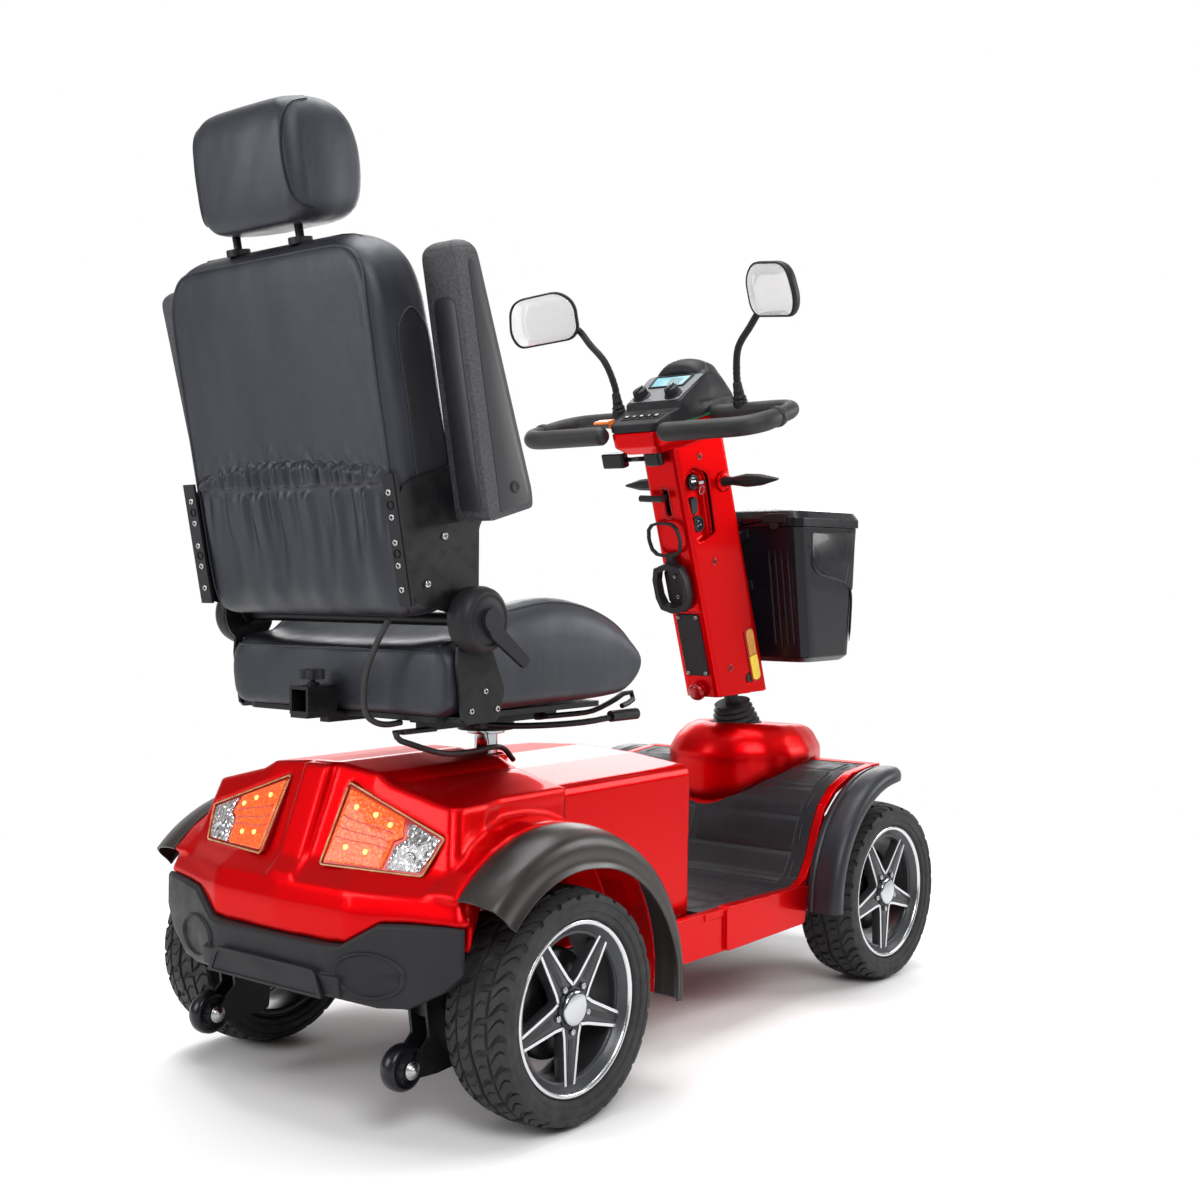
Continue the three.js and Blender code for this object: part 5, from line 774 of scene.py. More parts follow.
# backrest, in the reclining frame: z, half width, rear, front
BACK_TABLE = [(16, 196, -60, -8), (21, 210, -70, 4), (34, 219, -78, 16), (70, 223, -82.5, 25), (216, 224, -83, 32),
              (424, 223, -82.5, 27), (462, 219, -82, 24), (490, 210, -80.5, 20), (510, 197, -77, 13),
              (523, 181, -70, 3), (531, 163, -60, -8), (534.5, 146, -48, -20)]
BACK_LEVELS = np.concatenate([np.linspace(16, 40, 10), np.linspace(43, 192, 44), np.linspace(193.4, 256, 46),
                              np.linspace(260, 470, 34), np.linspace(475, 534.5, 18)])
BACK_COUNTS = (330, 8, 22, 90)
POCKET_TOP, BAND_FOOT = 240, 203
POST_X, POST_Y = -55, 67                                  # the headrest's two posts


def pocket(y, z):
    """How far the rear face stands out: hanging folds, a gathered elastic band, and the panel above."""
    brim = POCKET_TOP + 5.0 * wave(y, 3, 5, 0.16, 0.3) - 0.0005 * y * y
    inside = step(brim - z, -1.2, 1.6)
    gather = 1.15 * wave(y, 7, 4, 0.2, 0.31) + 0.35 * wave(y, 8, 3, 0.4, 0.6)
    in_band = step(z, 198, 206) * (1 - step(z, brim - 6, brim - 1))
    pinch = np.exp(-((z - BAND_FOOT) / 3.2) ** 2) + 0.6 * np.exp(-((z - (brim - 5)) / 2.6) ** 2)
    band = in_band * (4.2 + 5.2 * gather * np.sin(np.clip((z - 200) / 42, 0, 1) * math.pi) ** 0.6)
    fade = step(z, 18, 120) * 0.75 + 0.25
    hang = (1 - step(z, 188, BAND_FOOT)) * (
        6.4 * wave(y + 0.06 * (200 - z) * np.sin(y * 0.02), 11, 4, 0.05, 0.14) * fade
        + 2.6 * wave(y, 13, 4, 0.18, 0.32) * step(z, 90, 195) + 1.2 * np.sin((z - 40) * 0.05 + y * 0.012))
    smile = 0.8 * np.sin(z * 0.03 + y * 0.01) + 1.6 * np.exp(-((z - brim - 12) / 10) ** 2) * wave(y, 5, 5, 0.1, 0.3)
    return step(204 - np.abs(y), 0, 14) * (inside * (3.4 + band - 2.4 * pinch + hang) + (1 - inside) * smile)


rows = []
for z in BACK_LEVELS:
    half, rear, front = ease(BACK_TABLE, z)
    dish = 9 * step(z, 30, 120) * (1 - step(z, 440, 520))
    loop = plan_loop(rear, front, half, min(24, half * 0.2), 30, BACK_COUNTS, 4 * step(z, 16, 60), dish)
    n_rear, n_corner, n_side, _ = BACK_COUNTS
    loop[:n_rear, 0] -= pocket(loop[:n_rear, 1], z)
    side = slice(n_rear, n_rear + 2 * n_corner + n_side)
    loop[side, 1] += 0.9 * np.sin(z * 0.045 + loop[side, 0] * 0.05)
    rows.append(np.column_stack([loop, np.full(len(loop), z)]))
shell = grid(rows, "leather")
outline = rounded([(-196, 24), (-207, 60), (-207, 519), (207, 519), (207, 60), (196, 24)], [4, 8, 62, 62, 8, 4], 10)
path = polyline([(0, y, z) for y, z in outline[6:-6]], 260)
parts = [shell, piping(shell, path, FORWARD, 2.1, 0.2, 260)]
hem = np.array([(x, 0, z) for x, z in rounded([(-52, 46), (6, 46), (14, 210), (6, 408), (-22, 434), (-50, 408)],
                                              [10, 14, 30, 26, 22, 26], 8)])
for sign in (1, -1):
    inward = (0, -sign, 0)
    parts.append(piping(shell, polyline(hem, 120, closed=True), inward, 1.3, 0.5, 180, 6, closed=True))
    centre = hem.mean(0)
    rings = [lay_on(shell, polyline(centre + (hem - centre) * k, 96, closed=True), inward, 0.35 + (k < 0.97) * 0.5)
             for k in (0.985, 0.96, 0.8, 0.6, 0.4, 0.2, 0.04)]
    parts.append(grid(rings, "leather_dark", caps=False))
    parts.append(block("black", rounded(rect(17, 12, POST_X, sign * POST_Y), 11, 6), 531, 541, "z", 1.6))
put("visible_backrest_whole", parts, "back", "backrest", BACK)

# headrest: z, half width, rear, front
HEAD_TABLE = [(558, 72, -62, 2), (560, 84, -74, 16), (566, 97, -82, 29), (580, 106, -88, 41), (606, 110, -91, 49),
              (650, 111, -91, 52), (684, 109, -88, 46), (704, 104, -82, 36), (717, 96, -74, 23), (724, 84, -63, 10),
              (726, 72, -52, 0)]
HEAD_COUNTS = (60, 9, 24, 50)
HEAD_OFF = 5                                              # the headrest sits a little to the right
rows = []
for z in np.concatenate([np.linspace(558, 580, 14), np.linspace(584, 700, 30), np.linspace(703, 726, 14)]):
    half, rear, front = ease(HEAD_TABLE, z)
    loop = plan_loop(rear, front, half, min(26, half * 0.3), 42, HEAD_COUNTS, 5, 3)
    loop[:, 1] -= HEAD_OFF
    n_rear = HEAD_COUNTS[0]
    loop[:n_rear, 0] += 0.7 * wave(loop[:n_rear, 1] + z * 0.6, 21, 5, 0.05, 0.16)
    rows.append(np.column_stack([loop, np.full(len(loop), z)]))
head = grid(rows, "leather")
parts = [head]
for sign in (1, -1):
    bend = [(0, sign * (90 + 9 * ((z - 648) / 80) ** 2 + (14 if z < 600 else 0) * ((600 - z) / 40) ** 2) - HEAD_OFF, z)
            for z in np.linspace(566, 718, 40)]
    stitch = spline(lay_on(head, bend, FORWARD), 60) + (0, sign * 2.6, 0)
    parts += [piping(head, bend, FORWARD, 1.4, -0.2, 60), tube("leather_dark", stitch, 0.8, 6),
              rod("chrome_dark", (POST_X, sign * POST_Y, 404), (POST_X, sign * POST_Y, 575), 6)]
put("visible_headrest", parts, "headrest_body", "headrest", BACK)

# seat cushion: its section along the middle, as (x, z)
SEAT_PROFILE = [(-127, 582), (-121, 567), (-60, 567), (80, 569), (268, 574), (298, 591), (315, 622), (311, 648),
                (266, 683), (190, 712), (114, 721), (40, 713), (-20, 700), (-46, 684), (-64, 673), (-112, 666),
                (-127, 652)]
SEAT_HALF, SEAT_CENTRE, SEAT_FLOOR = 234, (92, 612), 566.6
rows = []
outer = np.linspace(196, SEAT_HALF, 20)
for y in np.concatenate([-outer[::-1], np.linspace(-190, 190, 60), outer]):
    t = np.clip((SEAT_HALF - abs(y)) / 36, 0, 1)
    squash = 0.5 + 0.5 * math.sqrt(1 - (1 - t) ** 2)
    q = SEAT_CENTRE + (spline(SEAT_PROFILE, 150, closed=True) - SEAT_CENTRE) * (0.9 + 0.1 * squash, squash)
    bolster = 7 * math.exp(-((abs(y) - 188) / 34) ** 2) - 6 * math.exp(-(y / 120) ** 2)
    q[:, 1] = np.maximum(q[:, 1] + step(q[:, 1], 640, 690) * bolster, SEAT_FLOOR)
    rear = q[:, 0] < -100
    q[rear, 0] += 0.9 * np.sin(y * 0.05 + q[rear, 1] * 0.05)
    rows.append(np.column_stack([q[:, 0], np.full(len(q), y), q[:, 1]]))
seat = grid(rows, "leather")
parts = [seat]
for sign in (1, -1):
    parts.append(piping(seat, [(x, sign * 212, 900) for x in np.linspace(-118, 306, 70)], DOWN, 2.0, 0.2, 140))
parts.append(piping(seat, [(0, y, 655) for y in np.linspace(-214, 214, 40)], FORWARD, 1.8, 0.2, 90))
put("visible_seat_cushion", parts, "seat", "seat_cushion")

# armrests, about their own pivot and on the left side; the left one stands further out and further back
ARM_PIVOT = (64, 0, 173)
for side, sign in SIDES:
    y0, y1 = (259, 324) if sign > 0 else (231, 293)
    middle = (y0 + y1) / 2
    pad = slab(rounded([(-58, -39), (32, -33), (34, -10), (-16, 322), (-24, 334), (-44, 336), (-58, 326)],
                       [8, 8, 10, 14, 12, 12, 16], 6), y0, y1, "y")
    ends = slab(rounded(corners(y0, -80, y1, 337), [4, 4, 28, 28], 8), -90, 90, "x")
    modify(pad, "BOOLEAN", object=ends, operation="INTERSECT", solver="EXACT")
    apply_all(pad)
    bpy.data.objects.remove(ends)
    flank = rounded([(-34, -31), (26, -26), (27, -10), (-20, 300), (-32, 310), (-36, 300)], [4, 8, 10, 12, 4, 4], 6)
    tongue = rounded(corners(middle - 20, -24, middle + 20, 262), [6, 6, 19, 19], 8)
    whole = merge([
        paint(soften(pad, 4.5, 4), "grain"),
        block("arm_smooth", flank, y1 - 2, y1 + 0.9, "y"),
        block("arm_smooth", tongue, -59.2, -56, "x"),
        turned("rubber", [(0, 1.8), (4, 1.6), (4.6, 2.6), (7.5, 2.6), (8.5, 1.4), (8.5, -3), (0, -3)],
               place=(0, y1 + 0.6, 0))])
    move(whole, shift(*ARM_PIVOT) @ spin(-3 if sign > 0 else 0, "Y"))
    put(f"visible_armrest_{side}", whole, f"{side}_armrest", f"armrest_{side}", BACK, sign)

# ---------------- tail lamps
LAMP_CORNERS = np.array([(-147, 64, 468), (-144, 249, 407), (-170, 232, 358), (-204, 65, 360)], float)


def lamp_point(u, v, proud):
    """Place on the lamp's slanted face: u from the middle outwards, v from the top down."""
    inner_top, outer_top, outer_low, inner_low = LAMP_CORNERS
    top = inner_top * (1 - u) + outer_top * u
    low = inner_low * (1 - u) + outer_low * u
    return top * (1 - v) + low * v - (proud, 0, 0)


def lamp_panel(finish, outline, proud, depth, dome):
    """Raised block over an outline in (u, v), with a domed face."""
    points = np.array(outline)
    middle = points.mean(0)
    rings = [[lamp_point(*(middle + (p - middle) * k), lift) for p in points]
             for k, lift in ((1.0, -depth), (1.0, proud - 1.2), (0.975, proud - 0.3), (0.94, proud),
                             (0.7, proud + dome * 0.5), (0.4, proud + dome * 0.85), (0.08, proud + dome))]
    return grid(rings, finish, 50)


AMBER_OUTLINE = rounded([(0.035, 0.05), (0.60, 0.055), (0.665, 0.36), (0.60, 0.46), (0.60, 0.95), (0.03, 0.955)],
                        0.03, 3)
CLEAR_OUTLINE = rounded([(0.66, 0.06), (0.965, 0.08), (0.975, 0.5), (0.955, 0.93), (0.64, 0.95), (0.63, 0.52),
                         (0.70, 0.38)], 0.03, 3)
LAMP_OUTLINE = rounded(corners(0, 0, 1, 1), 0.03, 4)
BULB = [(0, 2.2), (3.0, 1.6), (4.2, 0.4), (4.2, -3), (0, -3)]
for side, sign in SIDES:
    parts = [lamp_panel("amber", AMBER_OUTLINE, 4.4, 6, 1.5), lamp_panel("clear", CLEAR_OUTLINE, 3.6, 6, 2.0),
             tube("lens_edge", spline([lamp_point(u, v, 2.6) for u, v in LAMP_OUTLINE], 140, closed=True), 1.5),
             lamp_panel("red_dark", LAMP_OUTLINE, 1.0, 26, 0.2)]
    for u, v in ((0.16, 0.22), (0.36, 0.2), (0.52, 0.24), (0.2, 0.74), (0.4, 0.74)):
        parts.append(turned("bulb", BULB, 16, "x", lamp_point(u, v, 5.6), flip=True))
    for v in (0.36, 0.5, 0.62):
        bar = [lamp_point(u, v + 0.02 * math.sin(u * 9), 5.4) for u in np.linspace(0.07, 0.58, 24)]
        parts.append(tube("lamp_red", bar, 1.0))
    parts.append(turned("chrome", [(0, -3), (5, -2), (9, 0.6), (10, 0.2), (10, -4), (0, -4)], 24, "x",
                        lamp_point(0.82, 0.68, 5.4), flip=True))
    put(f"visible_tail_lamp_{side}", parts, "chassis", f"tail_lamp_{side}", sign=sign)


# ---------------- small fittings on the seat and back
def screw_head(x, y, z, turn, radius):
    """Button head with a socket; turn is 90 for one that points back, 0 or 180 to the left or right."""
    share = [(0.5, 0.9), (0.5, 2.1), (0.72, 2.3), (0.95, 1.4), (1, 0.2), (1, -1), (0, -1), (0, 0.9)]
    return move(turned("screw", [(k * radius, h) for k, h in share], 18), shift(x, y, z) @ spin(turn, "Z"))


strips, dials = [], []
for sign in (1, -1):
    sideways = 90 - 90 * sign
    strips.append(block("gloss", rounded(corners(203 * sign, 36, 225 * sign, 216), 5, 4), -94.4, -92.9, "x", 0.6,
                        segments=2))
    for z in (60, 93, 124, 158, 191):
        strips.append(screw_head(-94.6, sign * 213, z, 90, 4.6))
    for z in (109, 174):
        strips.append(turned("wheel", [(6.2, 0), (6.4, 0.8), (5.0, 0.8), (5.0, 0)], 18, "x", (-95.2, sign * 213, z)))
    for x, z in ((-64, 62), (-14, 6), (22, 176), (-20, 120)):
        strips.append(screw_head(x, sign * 231.2, z, sideways, 5.4))
    dials.append(turned("black", [(46.4, 6), (47, 12), (46.6, 22), (44, 30), (38, 34.6), (35, 35.4), (34, 34.2),
                                  (32.5, 34.2), (31.5, 35.4), (22, 36.2), (0, 36.4)], 72,
                        place=(-85, sign * 238.4, 700), flip=sign < 0))
    for x, z in ((-60, 600), (-36, 574), (-88, 574)):
        dials.append(screw_head(x, sign * 243.4, z, sideways, 4.4))
put("visible_back_fittings", strips, "back", place=BACK)
put("visible_recliner_caps", dials, "seat")

# ---------------- console
PANEL_TILT = math.degrees(math.atan2(32, 92))
PANEL = TILLER @ shift(-80, 0, 590) @ spin(-PANEL_TILT, "Y")      # x up the slope, y to the left
DIAL_Y = 36
glass = rounded([(54, -36), (88, -40), (88, 40), (54, 36)], 4, 4)
panel = [
    block("panel_grey", rounded([(3, -56), (90, -62), (93, -58), (93, 58), (90, 62), (3, 56)], 5, 4),
          0.2, 1.6, "z", 0.5),
    block("gloss", rounded([(50, -41), (92, -45), (92, 45), (50, 41)], 5, 4), 1.2, 4.2, "z", 1.2, [glass]),
    block("display", glass, 1.0, 2.4, "z", 0.3)]
for i in range(5):
    panel.append(block("panel_grey", rounded(corners(60 + 4.4 * i, -26, 62.6 + 4.4 * i, 4), 1, 2), 2.3, 2.6, "z", 0.1))
for sign in (1, -1):
    for a in np.radians(np.arange(9) * 32 - 130):
        tick = circle(0.9, 10, 21 + 19 * math.cos(a), sign * DIAL_Y + 19 * math.sin(a))
        panel.append(block("ink", tick, 1.5, 1.9, "z", 0.1))
put("visible_display_panel", panel, "tiller", place=PANEL)

# pointer knobs with a knurled rim
KNURLS = 48
rim = [polar(13.6 + 0.8 * (i % 2), 0, a) for i, a in enumerate(around(KNURLS))]
levels = [(1.0, 1.22), (3.6, 1.22), (5.2, 1.0), (15.5, 0.93), (17.2, 0.88), (17.8, 0.78), (17.9, 0.3)]
for body, node, sign in (("speed_dial", "speed_knob", 1), ("light_dial", "light_knob", -1)):
    knob = [grid([[(x * k, y * k, z) for x, y in rim] for z, k in levels], "black", 40),
            block("black", rounded(rect(11.5, 3), 2.4, 4), 15, 21, "z", 1.2),
            block("ink", rounded(corners(3, -0.8, 10.5, 0.8), 0.5, 2), 20.8, 21.2, "z", 0.1),
            turned("black", [(0, -10), (5.8, -10), (5.8, 1.5), (0, 1.5)], 20, "z")]
    place = PANEL @ shift(20 / math.cos(math.radians(PANEL_TILT)), sign * DIAL_Y, 0)
    put(f"visible_{node}", knob, body, node, place)

# row of push keys on the sloping deck, drawn about the row's middle
keys = []
for i in range(5):
    y = 17 * (i - 2)
    keys += [block("gloss", rounded(rect(6.5, 6.2, 0, y), 2.6, 4), 0.4, 2.6, "z", 0.7),
             block("ink", circle(2.2 if i % 2 else 3.2, 14, 0, y), 2.5, 2.9, "z", 0.1)]
keys.append(block("black", rounded(rect(11, 46), 5, 5), -2.2, 0.8, "z", 0.6))
put("visible_key_row", keys, "tiller", place=TILLER @ shift(-118, 0, 572) @ spin(-8.3, "Y"))

# ---------------- tiller
# flanks: a reflector in two colours, screw caps and the cuff of the turn signal
FLANK = shift(0, -51.68, 0) @ spin(-8.55, "Z")
for side, sign in SIDES:
    flank = [block("red_dark", rounded(corners(4, 14, 31, 122), 12, 8), -2.2, 0.6, "y", 0.9),
             block("yellow", rounded(corners(7, 17, 28, 66), [10, 10, 1, 1], 6), -4.0, -1.4, "y", 0.9),
             block("amber_dark", rounded(corners(7, 67.5, 28, 119), [1, 1, 10, 10], 6), -4.0, -1.4, "y", 0.9)]
    for u, w in ((-30, 474), (-39, 273), (-47, 63)):
        flank += [turned("red_dark", [(7.4, 0.2), (7.2, 1.0), (5.2, 0.6), (4.6, -0.6), (0, -0.8)],
                         place=(u, 0, w), flip=True),
                  block("wheel", rounded(rect(4.4, 1.3, u, w), 0.6, 2), -0.6, 0.4, "y", 0.2),
                  block("wheel", rounded(rect(1.3, 4.4, u, w), 0.6, 2), -0.6, 0.4, "y", 0.2)]
    flank.append(turned("red", [(11, -0.4), (18, 0.4), (19.5, 2.4), (17, 5), (12, 5.6), (10, 5.6)], 32,
                        place=(20, 0, 413), flip=True))
    put(f"visible_flank_{side}", move(merge(flank), FLANK), "tiller", place=TILLER, sign=-sign)

# key recess: lock, three-pin socket with its cap and strap, and the ring on the key
FLOOR_Y = -30.8
KEY, SOCKET = (-46, 430), (-53, 351)
recess = [turned("gloss", [(9.6, 0), (15, 0.4), (16, 3.4), (13.5, 6.4), (10.6, 6.6), (9.6, 5.4), (9.6, 0)], 40,
                 place=(KEY[0], FLOOR_Y, KEY[1]), flip=True),
          turned("black", [(16, -1), (16, 4), (14.6, 6.4), (12.4, 6.8), (11.8, 5), (11.4, 1.6), (0, 1.2)], 40,
                 place=(SOCKET[0], FLOOR_Y, SOCKET[1]), flip=True)]
for k in range(3):
    x, z = polar(5.4, 0, math.radians(90 + 120 * k))
    recess.append(turned("screw", [(0, 5.2), (1.6, 4.8), (1.9, 3.6), (1.9, 0), (0, 0)], 14,
                         place=(SOCKET[0] + x, FLOOR_Y - 1, SOCKET[1] + z), flip=True))
recess.append(block("black", rounded([(-70, 372), (-50, 372), (-44, 396), (-50, 404), (-66, 402)], 5, 4),
                    FLOOR_Y - 6, FLOOR_Y + 1, "y", 1.4))
strap = [(-60, FLOOR_Y - 5, 374), (-67, FLOOR_Y - 7, 366), (-64, FLOOR_Y - 6, 358)]
recess.append(tube("rubber", spline(strap, 16), 1.8))
ring = [(KEY[0] + 8 * math.cos(a), FLOOR_Y - 20 - 2 * math.sin(a), 414 + 8 * math.sin(a)) for a in around(13)]
put("key_ring", tube("screw", spline(ring, 40, closed=True), 0.9), "key", place=TILLER)
put("visible_recess_fittings", recess, "tiller", place=TILLER)

# rear face: cover plate with four screws, trim round the tilt slot, foot boss, hook screws, joint line
rear = [block("black", rounded(rect(26, 62, 0, 124), 5, 5), -94.2, -90.6, "x", 1.0)]
rear += [screw_head(-94.4, y, z, 90, 3.8) for y in (-20, 20) for z in (68, 180)]
slot = [(-91.4, y, z) for y, z in rounded(rect(8.5, 30, 0, 402), 8.3, 8)]
rear += [tube("red_dark", spline(slot, 90, closed=True), 1.7),
         turned("red_dark", [(0, 11), (10, 10.4), (15, 8), (17, 4), (17.4, -2), (0, -2)], 40, "x", (-99, 4, 32), True)]
rear += [screw_head(-97.6, 8, z, 90, 4.0) for z in (222, 262)]
rear.append(tube("red_dark", [(-91.2, y, 190) for y in np.linspace(-36, 36, 20)], 0.9, 6))
put("visible_tiller_fittings", rear, "tiller", place=TILLER)
tray = block("green", rounded([(-78, -60), (2, -74), (2, -84), (-78, -70)], 3, 3), 549.5, 553.5, "z")
put("console_tray", tray, "tiller", place=TILLER)

# mirrors: shell with a rim, glass, stalk and foot; (depth, share of the outline) for shell and glass
MIRROR_SHELL = [(0.4, 0.93), (-1.4, 0.965), (-1.4, 1.0), (0, 1.025), (5, 1.03), (10, 1.0), (17, 0.92), (22, 0.78),
                (26, 0.52), (27.4, 0.2)]
MIRROR_GLASS = [(-0.6, 0.955), (-1.0, 0.94), (-1.1, 0.5), (-1.15, 0.05)]
BOSS_X, BOSS_Y, BAR_Z = -5, 140, 549                      # the mirror's boss on the handlebar
outline = rounded([(-66, -30), (-50, -46), (58, -48), (71, -20), (60, 44), (-40, 48), (-68, 22)], 34, 10)
for side, sign in SIDES:
    # the glass takes the light grey finish whose colour is a painted reflection of the white studio
    head = [grid([[(depth, u * k, v * k) for u, v in outline] for depth, k in rows], key, crease)
            for rows, key, crease in ((MIRROR_SHELL, "black", 40), (MIRROR_GLASS, "mirror", None))]
    line = spline([(BOSS_X, BOSS_Y, 579), (-3, 141, 616), (-3, 154, 663), (1, 186, 700), (5, 204, 722), (1, 212, 733),
                   (-5, 218, 741)], 60)
    radii = [6.5 + (0.5 if 6 < i < 16 and i % 3 == 0 else 0) for i in range(60)]
    parts = [move(merge(head), shift(-36, 258, 761) @ spin(23.5, "Z")), tube("black", line, radii, 20),
             turned("black", [(0, 0.3), (12.5, 0.3), (12.8, 3), (10.2, 6), (9.6, 12), (10.4, 13), (9.0, 15), (8.4, 27),
                              (7.2, 31), (0, 32)], 32, "z", (BOSS_X, BOSS_Y, BAR_Z + 22))]
    put(f"visible_mirror_{side}", parts, f"{side}_mirror", f"mirror_{side}", TILLER, sign)

# handlebars: one loop on each side, thicker along the grip and rounded at its end
LOOP_POINTS = 120
corner = rounded([(-155, 62), (-155, 268), (-5, 268), (-5, 62)], [0.01, 62, 62, 0.01], 12)
loop = spline([(x, y, BAR_Z) for x, y in polyline(corner, 34)], LOOP_POINTS)
thick = [(17.3 - 2.6 * min(1, max(0, (i / (LOOP_POINTS - 1) - 0.42) / 0.1)))
         * (0.62 + 0.38 * math.sin(min(i / 2.5, 1) * math.pi / 2)) for i in range(LOOP_POINTS)]
for side, sign in SIDES:
    parts = [tube("rubber", loop, thick, 28), tube("rubber", loop[56:60], [18.0, 18.4, 18.4, 17.6], 28),
             turned("black", [(0, 0), (13.5, 0), (13.5, 17), (12.4, 21), (0, 21.6)], 32, "z", (BOSS_X, BOSS_Y, BAR_Z))]
    put(f"visible_handlebar_{side}", parts, "tiller", f"handlebar_{side}", TILLER, sign)

# domed hood over the display: x, half width, top
HOOD = [(11, 55, 622), (8, 60, 629), (10, 64, 636), (15, 67, 642), (25, 68.5, 646), (42, 68, 647), (58, 66, 643),
        (72, 62, 632), (84, 56, 614), (92, 48, 590), (94, 40, 572)]
HOOD_FOOT, SQUARE = 560, 0.82
rings = [[(x, half * math.copysign(abs(math.cos(a)) ** SQUARE, math.cos(a)),
           HOOD_FOOT + (top - HOOD_FOOT) * math.sin(a) ** SQUARE) for a in np.linspace(0, math.pi, 40)]
         for x, half, top in HOOD]
put("visible_console_hood", grid(rings, "black", 60), "tiller", place=TILLER)

# finger throttle: two rounded paddles on one arm
paddles = [block("gloss", rounded(rect(9, 18, -105, 0), 6, 5), 478, 504, "z", 4.5),
           block("gloss", rounded([(-119, 62), (-95, 64), (-97, 120), (-115, 118)], 9, 5), 478, 506, "z", 6),
           rod("gloss", (-105, 12, 492), (-105, 68, 492), 4.6, 16),
           rod("gloss", (-105, 0, 500), (-105, 0, 532), 3.8, 16)]
put("visible_throttle_lever", paddles, "throttle", "throttle_lever", TILLER)

# ---------------- bumper
BUMPER_X = ([0, 112, 140, 196, 240, 292, 316], [-245, -245, -239, -222, -210, -194, -184])
OVAL_Y, OVAL_Z, OVAL_HALF_Y, OVAL_HALF_Z = 186, 228, 50, 28


def oval(y, profile):
    """Oval pad that follows the bumper's face: profile of (share of the oval, height)."""
    rows = []
    for k, lift in profile:
        places = [(y + OVAL_HALF_Y * k * math.cos(a), OVAL_Z + OVAL_HALF_Z * k * math.sin(a)) for a in around(64)]
        rows.append([(np.interp(abs(u), *BUMPER_X) - lift, u, v) for u, v in places])
    return grid(rows, "black", 60)


def ledge(top, bottom, z1, z0, radius):
    return rounded([(-top, z1), (top, z1), (bottom, z0), (-bottom, z0)], [radius, radius, 2, 2], 4)


bumper = [block("black", ledge(106, 121, 227, 193, 7), -253.6, -243, "x", 1.6),
          block("black", ledge(108, 124, 229, 192, 8), -255.4, -252, "x", 0.8, [ledge(101, 114, 223, 196, 6)])]
for sign in (1, -1):
    bumper += [oval(sign * OVAL_Y, [(1.13, -2), (1.12, 1.2), (1.08, 4.2), (1.03, 5.0), (0.985, 4.0), (0.95, 0.9),
                                    (0.92, 0.5), (0.03, 0.5)]),
               oval(sign * OVAL_Y, [(0.955, 0.3), (0.95, 1.1), (0.03, 1.1)])]
put("visible_bumper_relief", bumper, "chassis")

# ---------------- anti-tip wheels: half profiles, from the side in
TREAD = [(20, -10.6), (24, -11.4), (26, -12.8), (29.4, -11), (31.6, -7)]
HUB = [(5.4, -11.6), (9.5, -11.6), (10.4, -9), (18.6, -8.4), (19.4, -10.4), (21, -10.6)]
NUT = [(0, 7.6), (4, 7.2), (5.6, 5.4), (6.2, 4.6), (8.4, 4.4), (8.8, 1.4), (12.5, 1.2), (13, 0), (0, 0)]


def two_sided(half, middle=()):
    return [*half, *middle, *((r, -y) for r, y in half[::-1])]


for side, sign in SIDES:
    place = TO_ROW @ shift(-188, sign * 209, 100.5)
    wheel = [turned("gloss", two_sided(TREAD, [(32.4, 0)]), 48), turned("black", two_sided(HUB), 40)]
    for k in range(6):
        rib = block("black", rounded(corners(9, -1.6, 19.5, 1.6), 0.6, 2), -10.4, 10.4, "y", 0.5)
        wheel.append(move(rib, spin(-60 * k, "Y")))
    put(f"visible_anti_tip_wheel_{side}", wheel, f"anti_tip_{side}", f"anti_tip_wheel_{side}", place)
    nuts = [turned("screw", NUT, place=(0, face * 20.2, 0), flip=face < 0) for face in (1, -1)]
    put(f"visible_anti_tip_bolts_{side}", nuts, "chassis", place=place)

# ---------------- mat: broad bands, and short marks along the edge
MAT_LINE = [(447, 200), (712, 200), (742, 212), (768, 250), (784, 290), (808, 332), (848, 364), (905, 384),
            (983, 391.8)]
COWL_SIDE = ([0, 796, 800, 803, 812, 830, 855, 903, 960, 990], [0, 0, 14, 33, 64, 92, 117, 136, 138, 134])
COWL_START, MAT_HALF = 790, 222
soft_line = spline([(x, 0, z + 6) for x, z in polyline(MAT_LINE, 60)], 420)
soft_line, distance = chords(soft_line, False)
heading = np.gradient(soft_line, axis=0)
heading /= np.linalg.norm(heading, axis=1)[:, None]


def on_mat(s, lift):
    x, z = (np.interp(s, distance, soft_line[:, k]) for k in (0, 2))
    tx, tz = (np.interp(s, distance, heading[:, k]) for k in (0, 2))
    return x - tz * lift, z + tx * lift


def mat_strip(s0, s1, inner, outer, height):
    """Raised strip over the mat from s0 to s1 along it; inner gives its near side at a place x."""
    rows = []
    for s in np.linspace(s0, s1, max(4, int((s1 - s0) / 5))):
        end = min(s - s0, s1 - s)
        top = height * min(1, 0.15 + end / 1.6) if end < 2 else height
        a, b = inner(on_mat(s, 0)[0]), outer
        ring = []
        for y, lift in ((a, -0.8), (a, top * 0.2), (a + 1.4, top), (b - 1.4, top), (b, top * 0.2), (b, -0.8)):
            x, z = on_mat(s, lift)
            ring.append((x, y, z))
        rows.append(ring)
    return grid(rows, "mat", 35)


bands = []
breaks = np.linspace(6, distance[-1] - 8, 10)
for s0, s1 in zip(breaks[:-1] + 1.6, breaks[1:] - 1.6):
    if on_mat(s1, 0)[0] < COWL_START:
        bands.append(mat_strip(s0, s1, lambda x: -MAT_HALF, MAT_HALF, 1.5))
    else:
        bands += [mirrored(mat_strip(s0, s1, lambda x: np.interp(x, *COWL_SIDE) + 9, MAT_HALF, 1.5), sign)
                  for sign in (1, -1)]
    bands += [mat_strip(s0 + 14, s1 - 14, lambda x, y=y: y, y + 4, 1.3) for y in (229, -233)]
put("visible_mat_bands", bands, "chassis")

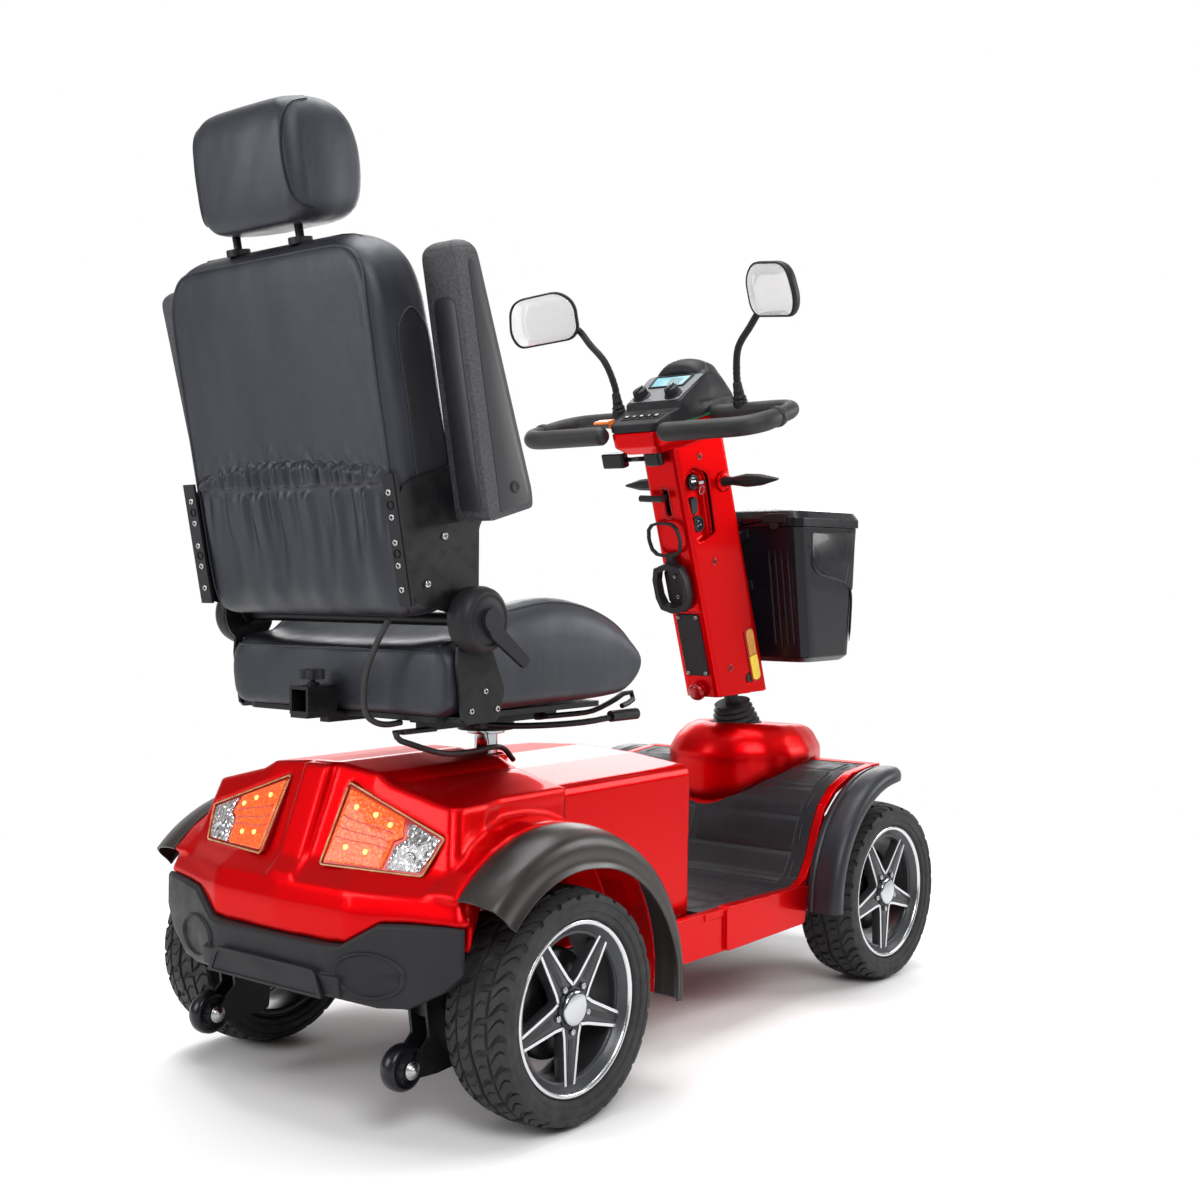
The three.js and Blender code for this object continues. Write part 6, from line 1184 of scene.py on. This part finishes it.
# ---------------- front box: ribs, a stepped panel on each side, latch
BOX_TOP, BOX_HEIGHT = 852, 264
RIB_POINTS, LIP_POINTS = 30, 70


def down(z, amount):
    """Share of an amount that has been reached at z on the way down the box."""
    return amount * (BOX_TOP - z) / BOX_HEIGHT


relief = []
for y in (-118, -104, -90, -76, 76, 90, 104, 118):
    path = [(909.4 + down(z, 41.8), y * (1 - down(z, 0.02)), z) for z in np.linspace(618, 806, RIB_POINTS)]
    relief.append(tube("gloss", path, tapered(2.3, RIB_POINTS, 0.25, 4), 12))
upper = rounded([(956, 842), (956, 787), (1000, 760), (1090, 744), (1116, 722), (1120, 842)], [6, 26, 26, 22, 14, 8], 7)
edge = spline([(957, 800), (960, 782), (972, 768), (1000, 758), (1050, 750), (1090, 741), (1106, 730), (1112, 712),
               (1112, 680), (1109, 625)], LIP_POINTS)
for sign in (1, -1):
    panel = block("gloss", upper, 148.6, 151.6, "y", 1.6)
    for vertex in panel.data.vertices:
        vertex.co.y -= down(vertex.co.z, 8.8)
    lip = tube("gloss", [(x, 150.4 - down(z, 8.8), z) for x, z in edge], tapered(2.4, LIP_POINTS, 0.2, 6), 12)
    relief += [mirrored(panel, sign), mirrored(lip, sign)]
put("visible_box_relief", relief, "tiller")
latch = [block("black", rounded(rect(26, 9, -96, 868), 4, 4), 903.4, 908.4, "x", 1.4),
         block("black", rounded([(-108, 858), (-84, 858), (-90, 846), (-102, 846)], 3, 3), 902.0, 906.0, "x", 1.0)]
put("visible_lid_latch", latch, "lid")

# ---------------- stage: a floor that turns plain white further out
WHITE = (1, 1, 1, 1)
graph = finish("floor", "floor_white", (0.9, 0.9, 0.905), 0.9, 0, (("noise", 1.5), (0.93, 0.93, 0.93)),
               Specular_IOR_Level=0.0)
ray = graph.node("LightPath").outputs
far = graph.band(graph.node("VectorMath", {0: graph.place}, operation="LENGTH").outputs["Value"], 1.05, 2.4)
share = graph.math("MULTIPLY", far, graph.math("MAXIMUM", ray["Is Camera Ray"], ray["Is Glossy Ray"]))
white = graph.node("Emission", {"Color": WHITE, "Strength": 1.0}).outputs[0]
mix = graph.node("MixShader", {0: share, 1: graph.tree.nodes["Principled BSDF"].outputs[0], 2: white})
graph.feed(graph.tree.nodes["Material Output"], {"Surface": mix.outputs[0]})
floor = paint(new_object([(*p, 0) for p in rect(14, 14)], [range(4)]), "floor")
floor.name = "floor"

# the sky is white to the camera, and gives the paint soft brightness from above and from ahead
scene.world = bpy.data.worlds.new("studio")
sky = Graph(scene.world, "Generated")


def glow(direction, low, high, dark, bright):
    """Soft brightness towards one side of the studio."""
    side = sky.node("VectorMath", {0: sky.place, 1: direction}, operation="DOT_PRODUCT")
    return sky.band(side.outputs["Value"], low, high, dark, bright, "SMOOTHSTEP")


ray = sky.node("LightPath").outputs
seen = sky.math("MAXIMUM", ray["Is Camera Ray"], ray["Is Transmission Ray"])
both = sky.math("MAXIMUM", glow((0, 0, 1), 0.1, 1.0, 0.12, 0.5), glow((0.776, 0.631, 0.1), 0.35, 0.95, 0.0, 0.95))
sky.feed(sky.tree.nodes["Background"], {"Color": WHITE, "Strength": sky.math("MAXIMUM", seen, both)})


def lamp(name, place, target, size, power, height=1):
    data = bpy.data.lights.new(name, "AREA")
    data.shape = "RECTANGLE"
    data.size, data.size_y = size, size * height
    data.energy = power
    obj = bpy.data.objects.new(name, data)
    obj.location = place
    aim(obj, Vector(target) - Vector(place))
    return obj


lamp("key", (-2.6, -3.4, 3.4), (0, 0, 0.6), 2.0, 130)
lamp("top", (0.2, 0.4, 4.2), (0, 0, 0.4), 3.0, 150)
lamp("side", (3.2, -2.6, 2.0), (0, 0, 0.6), 1.6, 70)
lamp("rear", (-3.6, 1.6, 1.8), (-0.4, 0, 0.6), 1.6, 60)
lamp("behind", (2.9, 2.35, 1.75), (0, 0, 0.4), 3.2, 62, 0.45).visible_camera = False

scene.view_settings.view_transform = "Standard"
